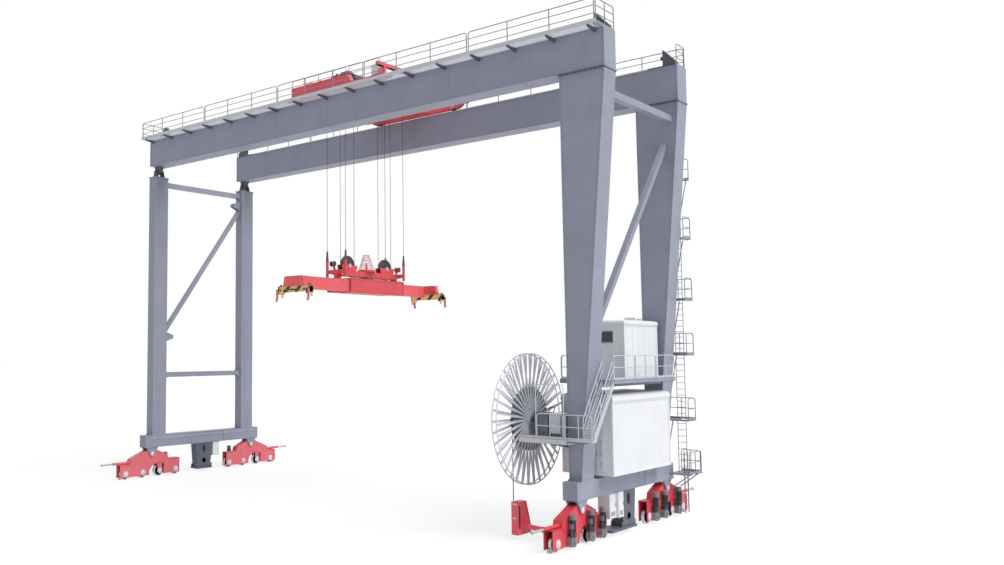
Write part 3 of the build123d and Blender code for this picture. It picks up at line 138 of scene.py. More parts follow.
def rgba(colour: Colour, gain: float = 1.0) -> tuple[float, ...]:
    """Return a colour with full alpha, made lighter or darker by a gain."""
    return (*(min(1.0, channel * gain) for channel in colour), 1.0)


@dataclass(frozen=True)
class Finish:
    """A surface finish: base colour, mottling, rain streaks, worn edges and fine relief."""

    name: str
    colour: Colour
    roughness: float = 0.5
    metallic: float = 0.0
    mottle: float = 0.07
    dirt: float = 0.18
    dirt_colour: Colour = (0.10, 0.09, 0.085)
    wear: float = 0.0
    worn_colour: Colour = (0.30, 0.27, 0.25)
    relief: Relief = Relief.PAINT
    relief_depth: float = 0.0006
    gloss_spread: float = 0.09

    def base(self, graph: Graph, place: Socket) -> Socket:
        """Return the mottled colour before dirt and wear."""
        clouds = graph.ramp(graph.noise(place, 0.7, 4.0), 0.3, 0.7)
        return graph.mix(clouds, rgba(self.colour, 1 - self.mottle), rgba(self.colour, 1 + self.mottle))

    def relief_height(self, graph: Graph, place: Socket) -> Socket:
        """Return the height of the fine relief.

        Args:
            graph: The material's nodes.
            place: Where on the crane a point lies.

        Returns:
            The height's socket.
        """
        if self.relief is Relief.SPANGLE:
            return graph.add("TexVoronoi", {"Vector": place, "Scale": 45.0}).outputs["Distance"]
        if self.relief is Relief.STRANDS:
            wave = {"Vector": place, "Scale": 18.0, "Distortion": 0.4}
            return graph.add("TexWave", wave, bands_direction="DIAGONAL").outputs["Fac"]
        return graph.noise(place, 90.0 if self.relief is Relief.CAST else 220.0, 2.0)

    def worn_edges(self, graph: Graph, place: Socket, colour: Socket) -> Socket:
        """Rub the paint off the edges.

        Args:
            graph: The material's nodes.
            place: Where on the crane a point lies.
            colour: The colour before the wear.

        Returns:
            The colour with the wear.
        """
        bevel = graph.add("Bevel", {"Radius": 0.018}, samples=3).outputs[0]
        flat = graph.add("NewGeometry").outputs["Normal"]
        match = graph.add("VectorMath", {0: bevel, 1: flat}, operation="DOT_PRODUCT").outputs["Value"]
        chips = graph.ramp(graph.noise(place, 6.0, 6.0), 0.45, 0.62, self.wear)
        return graph.mix(graph.sum("MULTIPLY", graph.ramp(match, 0.995, 0.90), chips), colour,
                         rgba(self.worn_colour))

    def material(self) -> bpy.types.Material:
        """Return the finish's material, made once.

        Returns:
            The material.
        """
        known = bpy.data.materials.get(self.name)
        if known:
            return known
        graph = Graph(bpy.data.materials.new(self.name))
        place = graph.add("TexCoord").outputs["Object"]
        streaks = graph.ramp(graph.noise(place, 2.2, 5.0, (1.0, 1.0, 0.09)), 0.52, 0.85, self.dirt)
        colour = graph.mix(streaks, self.base(graph, place), rgba(self.dirt_colour))
        if self.wear:
            colour = self.worn_edges(graph, place, colour)
        rough = graph.add("MapRange", {
            "Value": graph.ramp(graph.noise(place, 5.0, 4.0), 0.2, 0.8),
            "To Min": max(0.05, self.roughness - self.gloss_spread),
            "To Max": min(1.0, self.roughness + self.gloss_spread)}).outputs["Result"]
        bump = graph.add("Bump", {"Strength": 0.5, "Distance": self.relief_depth,
                                  "Height": self.relief_height(graph, place)}).outputs[0]
        graph.finish(graph.add("BsdfPrincipled", {"Base Color": colour, "Roughness": rough,
                                                  "Metallic": self.metallic, "Normal": bump}))
        return graph.owner


@dataclass(frozen=True)
class StripedFinish(Finish):
    """Slanting warning bands below a height, and plain paint above it."""

    band_top: float = 12.05
    band_start: float = 5.9
    band_pitch: float = 0.85
    dark_share: float = 0.34
    light: Colour = (0.94, 0.70, 0.22)
    dark: Colour = (0.035, 0.03, 0.03)

    def base(self, graph: Graph, place: Socket) -> Socket:
        """Return red paint with the slanting bands on the end beam.

        Args:
            graph: The material's nodes.
            place: Where on the crane a point lies.

        Returns:
            The colour's socket.
        """
        paint = Finish.base(self, graph, place)
        axes = graph.add("SeparateXYZ", {0: place}).outputs
        turn = graph.sum("MULTIPLY", graph.sum("SUBTRACT", axes["X"], axes["Z"]), 1.0 / self.band_pitch)
        band = graph.sum("LESS_THAN", graph.sum("FRACT", turn), self.dark_share)
        low = graph.sum("LESS_THAN", axes["Z"], self.band_top)
        end = graph.sum("GREATER_THAN", graph.sum("ABSOLUTE", axes["Y"]), self.band_start)
        stripes = graph.mix(band, rgba(self.light), rgba(self.dark))
        return graph.mix(graph.sum("MULTIPLY", low, end), paint, stripes)


STEEL = Finish("grey_blue_paint", (0.298, 0.318, 0.402), 0.46, dirt=0.14, mottle=0.05)
# The pedestals carry the same paint as the steel; this darker copy is painted shade, which also darkens the
# holes in their tops.
PEDESTAL_PAINTED_SHADE = Finish("pedestal_painted_shade", (0.105, 0.115, 0.155), dirt=0.2)
GEARBOX = Finish("gearbox_grey_paint", (0.19, 0.20, 0.225), 0.45, relief=Relief.CAST)
DARK_STEEL = Finish("dark_flange_paint", (0.085, 0.09, 0.115))
RED = Finish("red_paint", (0.80, 0.085, 0.10), 0.42, dirt=0.20, wear=0.5, worn_colour=(0.42, 0.10, 0.09))
BOGIE_RED = Finish("bogie_red_paint", (0.74, 0.062, 0.082), 0.44, dirt=0.24, wear=0.5,
                   worn_colour=(0.40, 0.09, 0.08))
# A brighter copy of the red paint; on the trolley the extra brightness is painted light that lifts its shaded
# faces.
BRIGHT_RED_WITH_PAINTED_LIGHT = Finish("bright_red_with_painted_light", (0.93, 0.125, 0.155), 0.42, dirt=0.16, wear=0.4,
                    worn_colour=(0.50, 0.12, 0.11))
# A lighter copy of the red paint, on the left bogies, the corner guides and the trolley's rails: painted
# light.
LIGHTER_RED_PAINTED_LIGHT = Finish("lighter_red_painted_light", (0.79, 0.165, 0.195), dirt=0.16, wear=0.4)
BASKET_WIRE = Finish("pale_basket_wire", (0.80, 0.50, 0.52), dirt=0.1)
STRIPED = StripedFinish("striped_end_paint", (0.92, 0.14, 0.155), 0.44, wear=0.4)
RAIL = Finish("guard_rail_zinc", (0.27, 0.285, 0.33), 0.45, 0.1, relief=Relief.SPANGLE, dirt=0.10)
WHITE = Finish("white_panel_paint", (0.82, 0.835, 0.86), 0.40, mottle=0.025, dirt=0.08,
               dirt_colour=(0.35, 0.34, 0.33))
ZINC = Finish("galvanised_steel", (0.50, 0.52, 0.56), 0.42, 0.25, relief=Relief.SPANGLE, dirt=0.12)
PALE_ZINC = Finish("pale_galvanised_steel", (0.60, 0.62, 0.67), 0.45, 0.1, relief=Relief.SPANGLE, dirt=0.10)
IRON = Finish("dark_cast_iron", (0.060, 0.062, 0.072), 0.55, relief=Relief.CAST, relief_depth=0.0015)
MOTOR = Finish("motor_grey_paint", (0.062, 0.070, 0.094), 0.45, relief=Relief.CAST)
BRIGHT = Finish("machined_steel", (0.55, 0.55, 0.56), 0.30, 0.9, dirt=0.25)
SPOKE = Finish("reel_spoke_paint", (0.74, 0.75, 0.80), 0.42, dirt=0.12)
RUBBER = Finish("black_rubber", (0.022, 0.022, 0.024), 0.62, relief=Relief.CAST)
CABLE = Finish("wound_cable_jacket", (0.13, 0.135, 0.16), 0.55, mottle=0.15)
ROPE = Finish("greased_wire_rope", (0.075, 0.075, 0.08), 0.5, 0.4, relief=Relief.STRANDS, relief_depth=0.004)
GLASS = Finish("dark_window_glass", (0.03, 0.04, 0.05), 0.12, mottle=0.2, dirt=0.05)
CABINET = Finish("cabinet_grey_paint", (0.16, 0.18, 0.22), 0.45)


def vec(x: float, y: float, z: float) -> Vector:
    """Return a point or a direction of the crane's frame."""
    return Vector((x, y, z))


def wheel_ray(turn: float) -> Vector:
    """Return the unit ray at a turn round the X axis."""
    return vec(0.0, math.cos(turn), math.sin(turn))


def plan_ray(turn: float) -> Vector:
    """Return the unit ray at a turn round the upright axis."""
    return vec(math.cos(turn), math.sin(turn), 0.0)


def bogie_label(side: int, end: int) -> str:
    """Return the end of a bogie's node names."""
    return f"{'right' if side > 0 else 'left'}_{'far' if end > 0 else 'near'}"


def rays(axis: Vector, count: int, shift: float = 0.0) -> list[Vector]:
    """Spread unit rays evenly round an axis.

    Args:
        axis: The unit axis.
        count: How many rays there are.
        shift: How far the first ray is turned on, in steps.

    Returns:
        The rays.
    """
    across = axis.orthogonal().normalized()
    up = axis.cross(across)
    turns = [math.tau * (step + shift) / count for step in range(count)]
    return [across * math.cos(turn) + up * math.sin(turn) for turn in turns]


def span(side: int, reaches: Iterable[float]) -> list[float]:
    """Return reaches on one side of the middle, the lowest first."""
    return sorted(side * reach for reach in reaches)


def evenly(first: float, last: float, pitch: float) -> list[float]:
    """Return places from first to last, spaced by about one pitch."""
    count = max(1, round(abs(last - first) / pitch))
    return [first + (last - first) * step / count for step in range(count + 1)]


def mirrored(profile: list[Pair]) -> list[Pair]:
    """Return a turned profile from one end to its middle, followed by its mirror image."""
    return profile + [(radius, -reach) for radius, reach in reversed(profile)]


def side_walls(rings: int, sides: int) -> list[tuple[int, int, int, int]]:
    """Return the faces between rings of points that follow one another.

    Args:
        rings: How many rings there are.
        sides: How many points a ring has.

    Returns:
        Faces by the numbers of their points.
    """
    return [(ring * sides + i, ring * sides + (i + 1) % sides, (ring + 1) * sides + (i + 1) % sides,
             (ring + 1) * sides + i) for ring in range(rings - 1) for i in range(sides)]


def corner_arcs(path: Iterable[Place], radius: float, steps: int = 4) -> list[Vector]:
    """Turn the corners of a route into smooth bends.

    Args:
        path: The route's corner points.
        radius: How far before and after a corner its bend reaches.
        steps: How many pieces a bend has.

    Returns:
        The route's points.
    """
    points = [Vector(point) for point in path]
    route = [points[0]]
    for before, corner, after in zip(points, points[1:], points[2:]):
        reach = min(radius, (before - corner).length * 0.49, (after - corner).length * 0.49)
        start = corner + (before - corner).normalized() * reach
        end = corner + (after - corner).normalized() * reach
        for share in (step / steps for step in range(steps + 1)):
            route.append(start.lerp(corner, share).lerp(corner.lerp(end, share), share))
    return [*route, points[-1]]


@dataclass
class Workpiece:
    """One mesh in the making, in metres and in the crane's frame.

    Its methods end with a kind, which says which of the piece's finishes the new faces take.
    """

    name: str
    body: str
    slot: str
    finishes: Sequence[Finish]
    points: list[Vector] = field(default_factory=list)
    faces: list[list[int]] = field(default_factory=list)
    kinds: list[int] = field(default_factory=list)
    smooth: list[bool] = field(default_factory=list)

    def skin(self, points: Iterable[Place], faces: Iterable[Sequence[int]], kind: int = 0,
             smooth: bool = False) -> None:
        """Add points and faces.

        Args:
            points: The new points.
            faces: Faces by the numbers of the new points.
            kind: The faces' finish.
            smooth: Whether the faces are shaded round.
        """
        first = len(self.points)
        self.points.extend(Vector(point) for point in points)
        for face in faces:
            self.faces.append([first + index for index in face])
            self.kinds.append(kind)
            self.smooth.append(smooth)

    def prism(self, outline: Sequence[Vector], along: Vector, kind: int = 0) -> None:
        """Add a solid with a flat outline, drawn out along a vector."""
        count = len(outline)
        points = [*outline, *(point + along for point in outline)]
        self.skin(points, side_walls(2, count), kind)
        self.skin(points, [range(count)[::-1], range(count, 2 * count)], kind)

    def plate(self, axis: int, start: float, outline: Iterable[Pair], depth: float, kind: int = 0) -> None:
        """Add a plate that lies square to an axis of the frame.

        Args:
            axis: The number of the axis.
            start: Where the plate's first face lies on the axis.
            outline: Pairs of the two other coordinates.
            depth: How far the plate reaches along the axis.
            kind: The plate's finish.
        """
        along = vec(*(depth if axis == number else 0.0 for number in range(3)))
        self.prism([vec(*pair[:axis], start, *pair[axis:]) for pair in outline], along, kind)

    def block(self, low: Place, high: Place, kind: int = 0) -> None:
        """Add a rectangular block between two corners."""
        (x0, y0, z0), (x1, y1, z1) = low, high
        self.plate(2, z0, [(x0, y0), (x1, y0), (x1, y1), (x0, y1)], z1 - z0, kind)

    def post(self, x: float, y: float, half_x: float, half_y: float, low: float, high: float,
             kind: int = 0) -> None:
        """Add an upright block about a place in the plan."""
        self.block((x - half_x, y - half_y, low), (x + half_x, y + half_y, high), kind)

    def blocks(self, rows: Iterable[Sequence[float]], lift: float = 0.0) -> None:
        """Add blocks given as rows of lower corner, upper corner and kind, raised by a lift."""
        for x0, y0, z0, x1, y1, z1, kind in rows:
            self.block((x0, y0, z0 + lift), (x1, y1, z1 + lift), kind)

    def bar(self, start: Place, end: Place, width: float, depth: float, side: Vector = X_AXIS,
            kind: int = 0) -> None:
        """Add a flat bar.

        Args:
            start: The middle of its first end.
            end: The middle of its last end.
            width: Its size along the side direction.
            depth: Its size square to that.
            side: The direction along which its width lies.
            kind: The bar's finish.
        """
        first, along = Vector(start), Vector(end) - Vector(start)
        across = (side - along * side.dot(along) / along.length_squared).normalized() * width / 2
        down = along.cross(across).normalized() * depth / 2
        corners = [first - across - down, first + across - down, first + across + down, first - across + down]
        self.prism(corners, along, kind)

    def pipe(self, path: Iterable[Place], radius: float, sides: int = 8, bend: float = 0.0,
             kind: int = 0) -> None:
        """Add a round pipe along a route.

        Args:
            path: The route's corner points.
            radius: The pipe's outer radius.
            sides: How many facets the round has.
            bend: How far before and after a corner its bend reaches, or nought for none.
            kind: The pipe's finish.
        """
        route = corner_arcs(path, bend) if bend else [Vector(point) for point in path]
        count = len(route)
        tangents = [(route[min(i + 1, count - 1)] - route[max(i - 1, 0)]).normalized() for i in range(count)]
        across = tangents[0].orthogonal().normalized()
        points: list[Vector] = []
        for point, tangent in zip(route, tangents):
            across = (across - tangent * across.dot(tangent)).normalized()
            up = tangent.cross(across)
            for turn in (math.tau * step / sides for step in range(sides)):
                points.append(point + (across * math.cos(turn) + up * math.sin(turn)) * radius)
        self.skin(points, side_walls(count, sides), kind, True)
        self.skin(points[:sides], [range(sides)[::-1]], kind)
        self.skin(points[-sides:], [range(sides)], kind)

    def turned(self, origin: Place, axis: Vector, profile: Sequence[Pair], sides: int = 32, kind: int = 0,
               smooth: bool = True) -> None:
        """Add a turned solid.

        Args:
            origin: Where the profile's distances start.
            axis: The direction of the distances.
            profile: Pairs of radius and distance, from one end to the other.
            sides: How many facets the round has.
            kind: The solid's finish.
            smooth: Whether the facets of one step are shaded round.
        """
        axis = axis.normalized()
        start, spin = Vector(origin), rays(axis, sides)
        for (inner, low), (outer, high) in zip(profile, profile[1:]):
            rings = [start + axis * low + ray * inner for ray in spin]
            rings += [start + axis * high + ray * outer for ray in spin]
            self.skin(rings, side_walls(2, sides), kind, smooth)
        for (radius, reach), step in ((profile[0], -1), (profile[-1], 1)):
            if radius > 1e-6 and profile[0] != profile[-1]:
                ring = [start + axis * reach + ray * radius for ray in spin]
                self.skin(ring, [range(sides)[::step]], kind)

    def bolt(self, spot: Place, axis: Vector, size: float, height: float, kind: int = 0) -> None:
        """Add one hexagon bolt head."""
        self.turned(spot, axis, [(size, 0.0), (size, height)], 6, kind, False)

    def disc_bolts(self, centre: Place, axis: Vector, radius: float, count: int, size: float,
                   kind: int = 0) -> None:
        """Add a circle of bolt heads on a face."""
        for ray in rays(axis.normalized(), count, 0.5):
            self.bolt(Vector(centre) + ray * radius, axis, size, size, kind)

    def bolt_row(self, start: Place, end: Place, count: int, axis: Vector, size: float,
                 kind: int = 0) -> None:
        """Add a straight row of bolt heads."""
        for step in range(count):
            self.bolt(Vector(start).lerp(Vector(end), (step + 0.5) / count), axis, size, size, kind)

    def finned(self, origin: Vector, along: Vector, plane: tuple[Vector, Vector], fins: int,
               steps: Iterable[Pair], kind: int = 0) -> None:
        """Add a motor's body with its cooling fins.

        Args:
            origin: The middle of its first face.
            along: The body's length and direction.
            plane: The directions of the first fin and of the one a quarter turn on.
            fins: How many fins there are.
            steps: Pairs of a share of one fin's turn and the radius there.
            kind: The body's finish.
        """
        spots = [(math.tau * (fin + share) / fins, radius) for fin in range(fins) for share, radius in steps]
        self.prism([origin + (plane[0] * math.cos(turn) + plane[1] * math.sin(turn)) * radius
                    for turn, radius in spots], along, kind)

    def guard_rail(self, start: Place, end: Place, height: float = 1.1, rails: int = 2, pitch: float = 2.0,
                   radius: float = 0.022, toe: float = 0.0) -> None:
        """Add one guard rail panel of bent pipe between two feet.

        Args:
            start: The first post's foot.
            end: The last post's foot.
            height: The height of the top rail.
            rails: How many rails there are, the top one included.
            pitch: The distance between posts.
            radius: The radius of the pipe.
            toe: The height of the toe board, or nought.
        """
        first, last = Vector(start), Vector(end)
        rise = UP * (height - radius)
        self.pipe([first, first + rise, last + rise, last], radius, 8, 0.16)
        for level in range(1, rails):
            lift = UP * height * level / rails
            self.pipe([first + lift, last + lift], radius * 0.85)
        count = max(1, round((last - first).length / pitch))
        for foot in (first.lerp(last, step / count) for step in range(1, count)):
            self.pipe([foot, foot + rise], radius)
        if toe:
            self.bar(first + UP * toe / 2, last + UP * toe / 2, 0.006, toe, UP.cross(last - first))

    def done(self, replaces: Sequence[str] = (), bevel: float = 0.0) -> bpy.types.Object:
        """Make the object, dress it and fix it to its body.

        Args:
            replaces: The frame's nodes that the piece stands for.
            bevel: The width of its softened edges, or nought.

        Returns:
            The finished object.
        """
        mesh = bpy.data.meshes.new(self.name)
        mesh.from_pydata(self.points, [], self.faces)
        for finish in self.finishes:
            mesh.materials.append(finish.material())
        mesh.polygons.foreach_set("material_index", self.kinds)
        mesh.polygons.foreach_set("use_smooth", self.smooth)
        work = bmesh.new()
        work.from_mesh(mesh)
        bmesh.ops.recalc_face_normals(work, faces=work.faces)
        work.to_mesh(mesh)
        work.free()
        piece = bpy.data.objects.new(self.name, mesh)
        bpy.context.scene.collection.objects.link(piece)
        if bevel:
            soften = piece.modifiers.new("softened edges", "BEVEL")
            soften.width = bevel
            soften.segments = 2
            soften.limit_method = "ANGLE"
        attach(piece, self.body)
        if replaces:
            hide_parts(*replaces)
        LOG.info("%s: %d faces on %s", self.name, len(self.faces), self.body)
        return piece


def dress(finish: Finish, *nodes: str) -> None:
    """Give nodes of the frame a finish."""
    for name in nodes:
        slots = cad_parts[name].data.materials
        slots.clear()
        slots.append(finish.material())


@dataclass
class Assembly:
    """A sub-assembly whose pieces ride on one body of the frame."""

    body: str

    def start(self, name: str, slot: str, *finishes: Finish) -> Workpiece:
        """Start a piece that rides on this sub-assembly's body."""
        return Workpiece(name, self.body, slot, finishes)


@dataclass
class Superstructure(Assembly):
    """Girders, legs, ties and tracks: paint on the solids and the small ironwork on them."""

    girder_ends: Pair = (-15.83, 17.35)
    girder_levels: Pair = (21.09, 22.89)
    web_faces: Pair = (3.455, 4.525)
    seam_pitch: float = 4.1
    bead: Pair = (0.022, 0.012)
    track_y: float = 3.7
    clip_pitch: float = 1.0
    clip_offset: float = 0.105
    foot_top: float = 2.82
    foot_bolt_x: tuple[float, ...] = (-RUNWAY_X - 0.34, -RUNWAY_X + 0.34, 15.215, 15.86)
    leg_head_x: Pair = (15.14, 17.35)
    tie_ends: tuple[tuple[float, float, tuple[int, ...]], ...] = (
        (6.8, 0.5, SIDES), (19.9, 0.45, SIDES), (9.4, 0.7, (-1,)), (19.15, 0.7, (1,)))

    def dress_solids(self) -> None:
        """Dress the steelwork whose solids stay in view."""
        dress(STEEL, "girder_near", "girder_far", "leg_left_near", "leg_left_far", "leg_right_near",
              "leg_right_far", "left_ties", "right_ties", "sill_left", "sill_right")
        # The sill pedestals take the darker copy of the steel paint: painted shade.
        dress(PEDESTAL_PAINTED_SHADE, "sill_pedestals")
        dress(DARK_STEEL, "leg_bearings", "end_stops")
        dress(BRIGHT, "trolley_tracks")

    def weld_seams(self) -> None:
        """Lay the transverse weld beads across the girder webs and flanges."""
        piece = self.start("girder_weld_seams", "structure", STEEL)
        low, high = self.girder_levels
        for x in evenly(*self.girder_ends, self.seam_pitch)[1:-1]:
            for side in SIDES:
                for y in (side * face for face in self.web_faces):
                    piece.bar((x, y, low + 0.04), (x, y, high - 0.04), *self.bead)
                inner, outer = span(side, LEG_FACES_Y)
                piece.bar((x, inner, low), (x, outer, low), *self.bead)
        piece.done()

    def track_clips(self) -> None:
        """Set the clamps that hold the trolley tracks down."""
        piece = self.start("track_clips", "structure", DARK_STEEL, BRIGHT)
        low, high = self.girder_ends
        top = self.girder_levels[1]
        for x in evenly(low + 1.8, high - 1.8, self.clip_pitch):
            for y in (side * self.track_y + lean * self.clip_offset for side in SIDES for lean in SIDES):
                piece.post(x, y, 0.05, 0.035, top, top + 0.045)
                piece.bolt((x, y, top + 0.045), UP, 0.018, 0.02, 1)
        piece.done()

    def foot_bolts(self) -> None:
        """Bolt the feet of the four legs down to the sills."""
        piece = self.start("leg_foot_bolts", "structure", BRIGHT, STEEL)
        top = self.foot_top
        for side in SIDES:
            low, high = span(side, LEG_FACES_Y)
            for x in self.foot_bolt_x:
                piece.bolt_row((x, low - 0.02, top), (x, high + 0.02, top), 7, UP, 0.022)
            for x in (base + rib for base in (-RUNWAY_X, RUNWAY_X) for rib in (-0.208, 0.192)):
                for y, out in zip((side * face for face in LEG_FACES_Y), SIDES):
                    piece.plate(0, x, [(y, top), (y, top + 0.3), (y + side * out * 0.04, top)], 0.016, 1)
        piece.done()

    def head_plates(self) -> None:
        """Set the thick bolted plates between the tapered legs and the girders."""
        piece = self.start("leg_head_plates", "structure", DARK_STEEL, BRIGHT)
        low = self.girder_levels[0]
        inner_x, outer_x = self.leg_head_x
        for side in SIDES:
            inner, outer = span(side, LEG_FACES_Y)
            piece.block((inner_x - 0.05, inner - 0.05, low - 0.09),
                        (outer_x - 0.001, outer + 0.05, low - 0.004))
            for x in evenly(inner_x, outer_x - 0.1, 0.24):
                for y in (inner - 0.025, outer + 0.025):
                    piece.bolt((x + 0.03, y, low - 0.115), UP, 0.02, 0.14, 1)
        piece.done(bevel=0.008)

    def tie_gussets(self) -> None:
        """Set the gusset plates at the ends of the ties and braces."""
        piece = self.start("tie_gussets", "structure", STEEL, BRIGHT)
        for z, reach, sides in self.tie_ends:
            for side in sides:
                y, tip = side * LEG_FACES_Y[0], side * (LEG_FACES_Y[0] - reach)
                for x, axis in ((-RUNWAY_X - 0.175, -X_AXIS), (-RUNWAY_X + 0.165, X_AXIS)):
                    piece.plate(0, x, [(y, z - reach / 2), (y, z + reach / 2), (tip, z + 0.1),
                                       (tip, z - 0.1)], 0.012)
                    piece.bolt_row((x, y - side * reach * 0.4, z), (x, y - side * reach * 0.95, z), 3,
                                   axis, 0.022, 1)
        piece.done()

    def build(self) -> None:
        """Build the steelwork's pieces."""
        self.dress_solids()
        self.weld_seams()
        self.track_clips()
        self.foot_bolts()
        self.head_plates()
        self.tie_gussets()


@dataclass
class Walkway(Assembly):
    """The grating walkway beside the near girder and the guard rails along both girders."""

    ends: Pair = (-15.83, 17.35)
    deck_y: Pair = (-5.31, -4.55)
    deck_top: float = 22.89
    slat_pitch: float = 0.115
    bar_pitch: float = 0.11
    bracket_pitch: float = 2.03
    bracket_drop: float = 0.23
    far_rail_y: float = 4.505
    post_pitch: float = 2.06
    panel_length: float = 6.2
    pipe_radius: float = 0.024
    toe_board: float = 0.08

    def grating(self) -> None:
        """Weave the open grating, its edge channels and its toe board."""
        piece = self.start("walkway_grating", "galvanised", PALE_ZINC, DARK_STEEL)
        (outer, inner), (low, high), top = self.deck_y, self.ends, self.deck_top
        piece.block((low, outer, top - 0.06), (high, outer + 0.03, top + 0.12))
        piece.block((low, inner - 0.03, top - 0.06), (high, inner, top))
        for y in evenly(outer + 0.03, inner - 0.03, self.slat_pitch)[1:-1]:
            piece.block((low, y - 0.0025, top - 0.028), (high, y + 0.0025, top - 0.003))
        for x in evenly(low, high, self.bar_pitch)[1:-1]:
            piece.block((x - 0.004, outer + 0.03, top - 0.022), (x + 0.004, inner - 0.03, top - 0.001))
        tip, drop = outer + 0.01, top - self.bracket_drop
        for x in evenly(low + 0.4, high - 0.4, self.bracket_pitch):
            piece.plate(0, x - 0.02,
                        [(inner, top - 0.045), (tip, top - 0.045), (tip, top - 0.1), (inner, drop)], 0.04, 1)
            piece.bar((x, tip, top - 0.105), (x, inner, drop - 0.005), 0.12, 0.012, X_AXIS, 1)
        piece.done(["girder_walkways"])

    def rails(self) -> None:
        """Bend the guard rail panels with their round corners."""
        piece = self.start("girder_guard_rails", "galvanised", RAIL)
        top, near, far = self.deck_top, self.deck_y[0] + 0.045, self.far_rail_y
        low, high = self.ends[0] + 0.045, self.ends[1] - 0.045
        for y, toe in ((near, 0.0), (far, self.toe_board)):
            panels = evenly(low, high, self.panel_length)
            for start, end in zip(panels, panels[1:]):
                piece.guard_rail((start + 0.05, y, top), (end - 0.05, y, top), 1.1, 3, self.post_pitch,
                                 self.pipe_radius, toe)
        for x in (low, high):
            for start, end in ((near + 0.06, -3.475), (3.475, far - 0.06)):
                piece.guard_rail((x, start, top), (x, end, top), 1.1, 3, 1.0, self.pipe_radius,
                                 self.toe_board)
        piece.done(["girder_railings"])

    def build(self) -> None:
        """Build the walkway's pieces."""
        self.grating()
        self.rails()


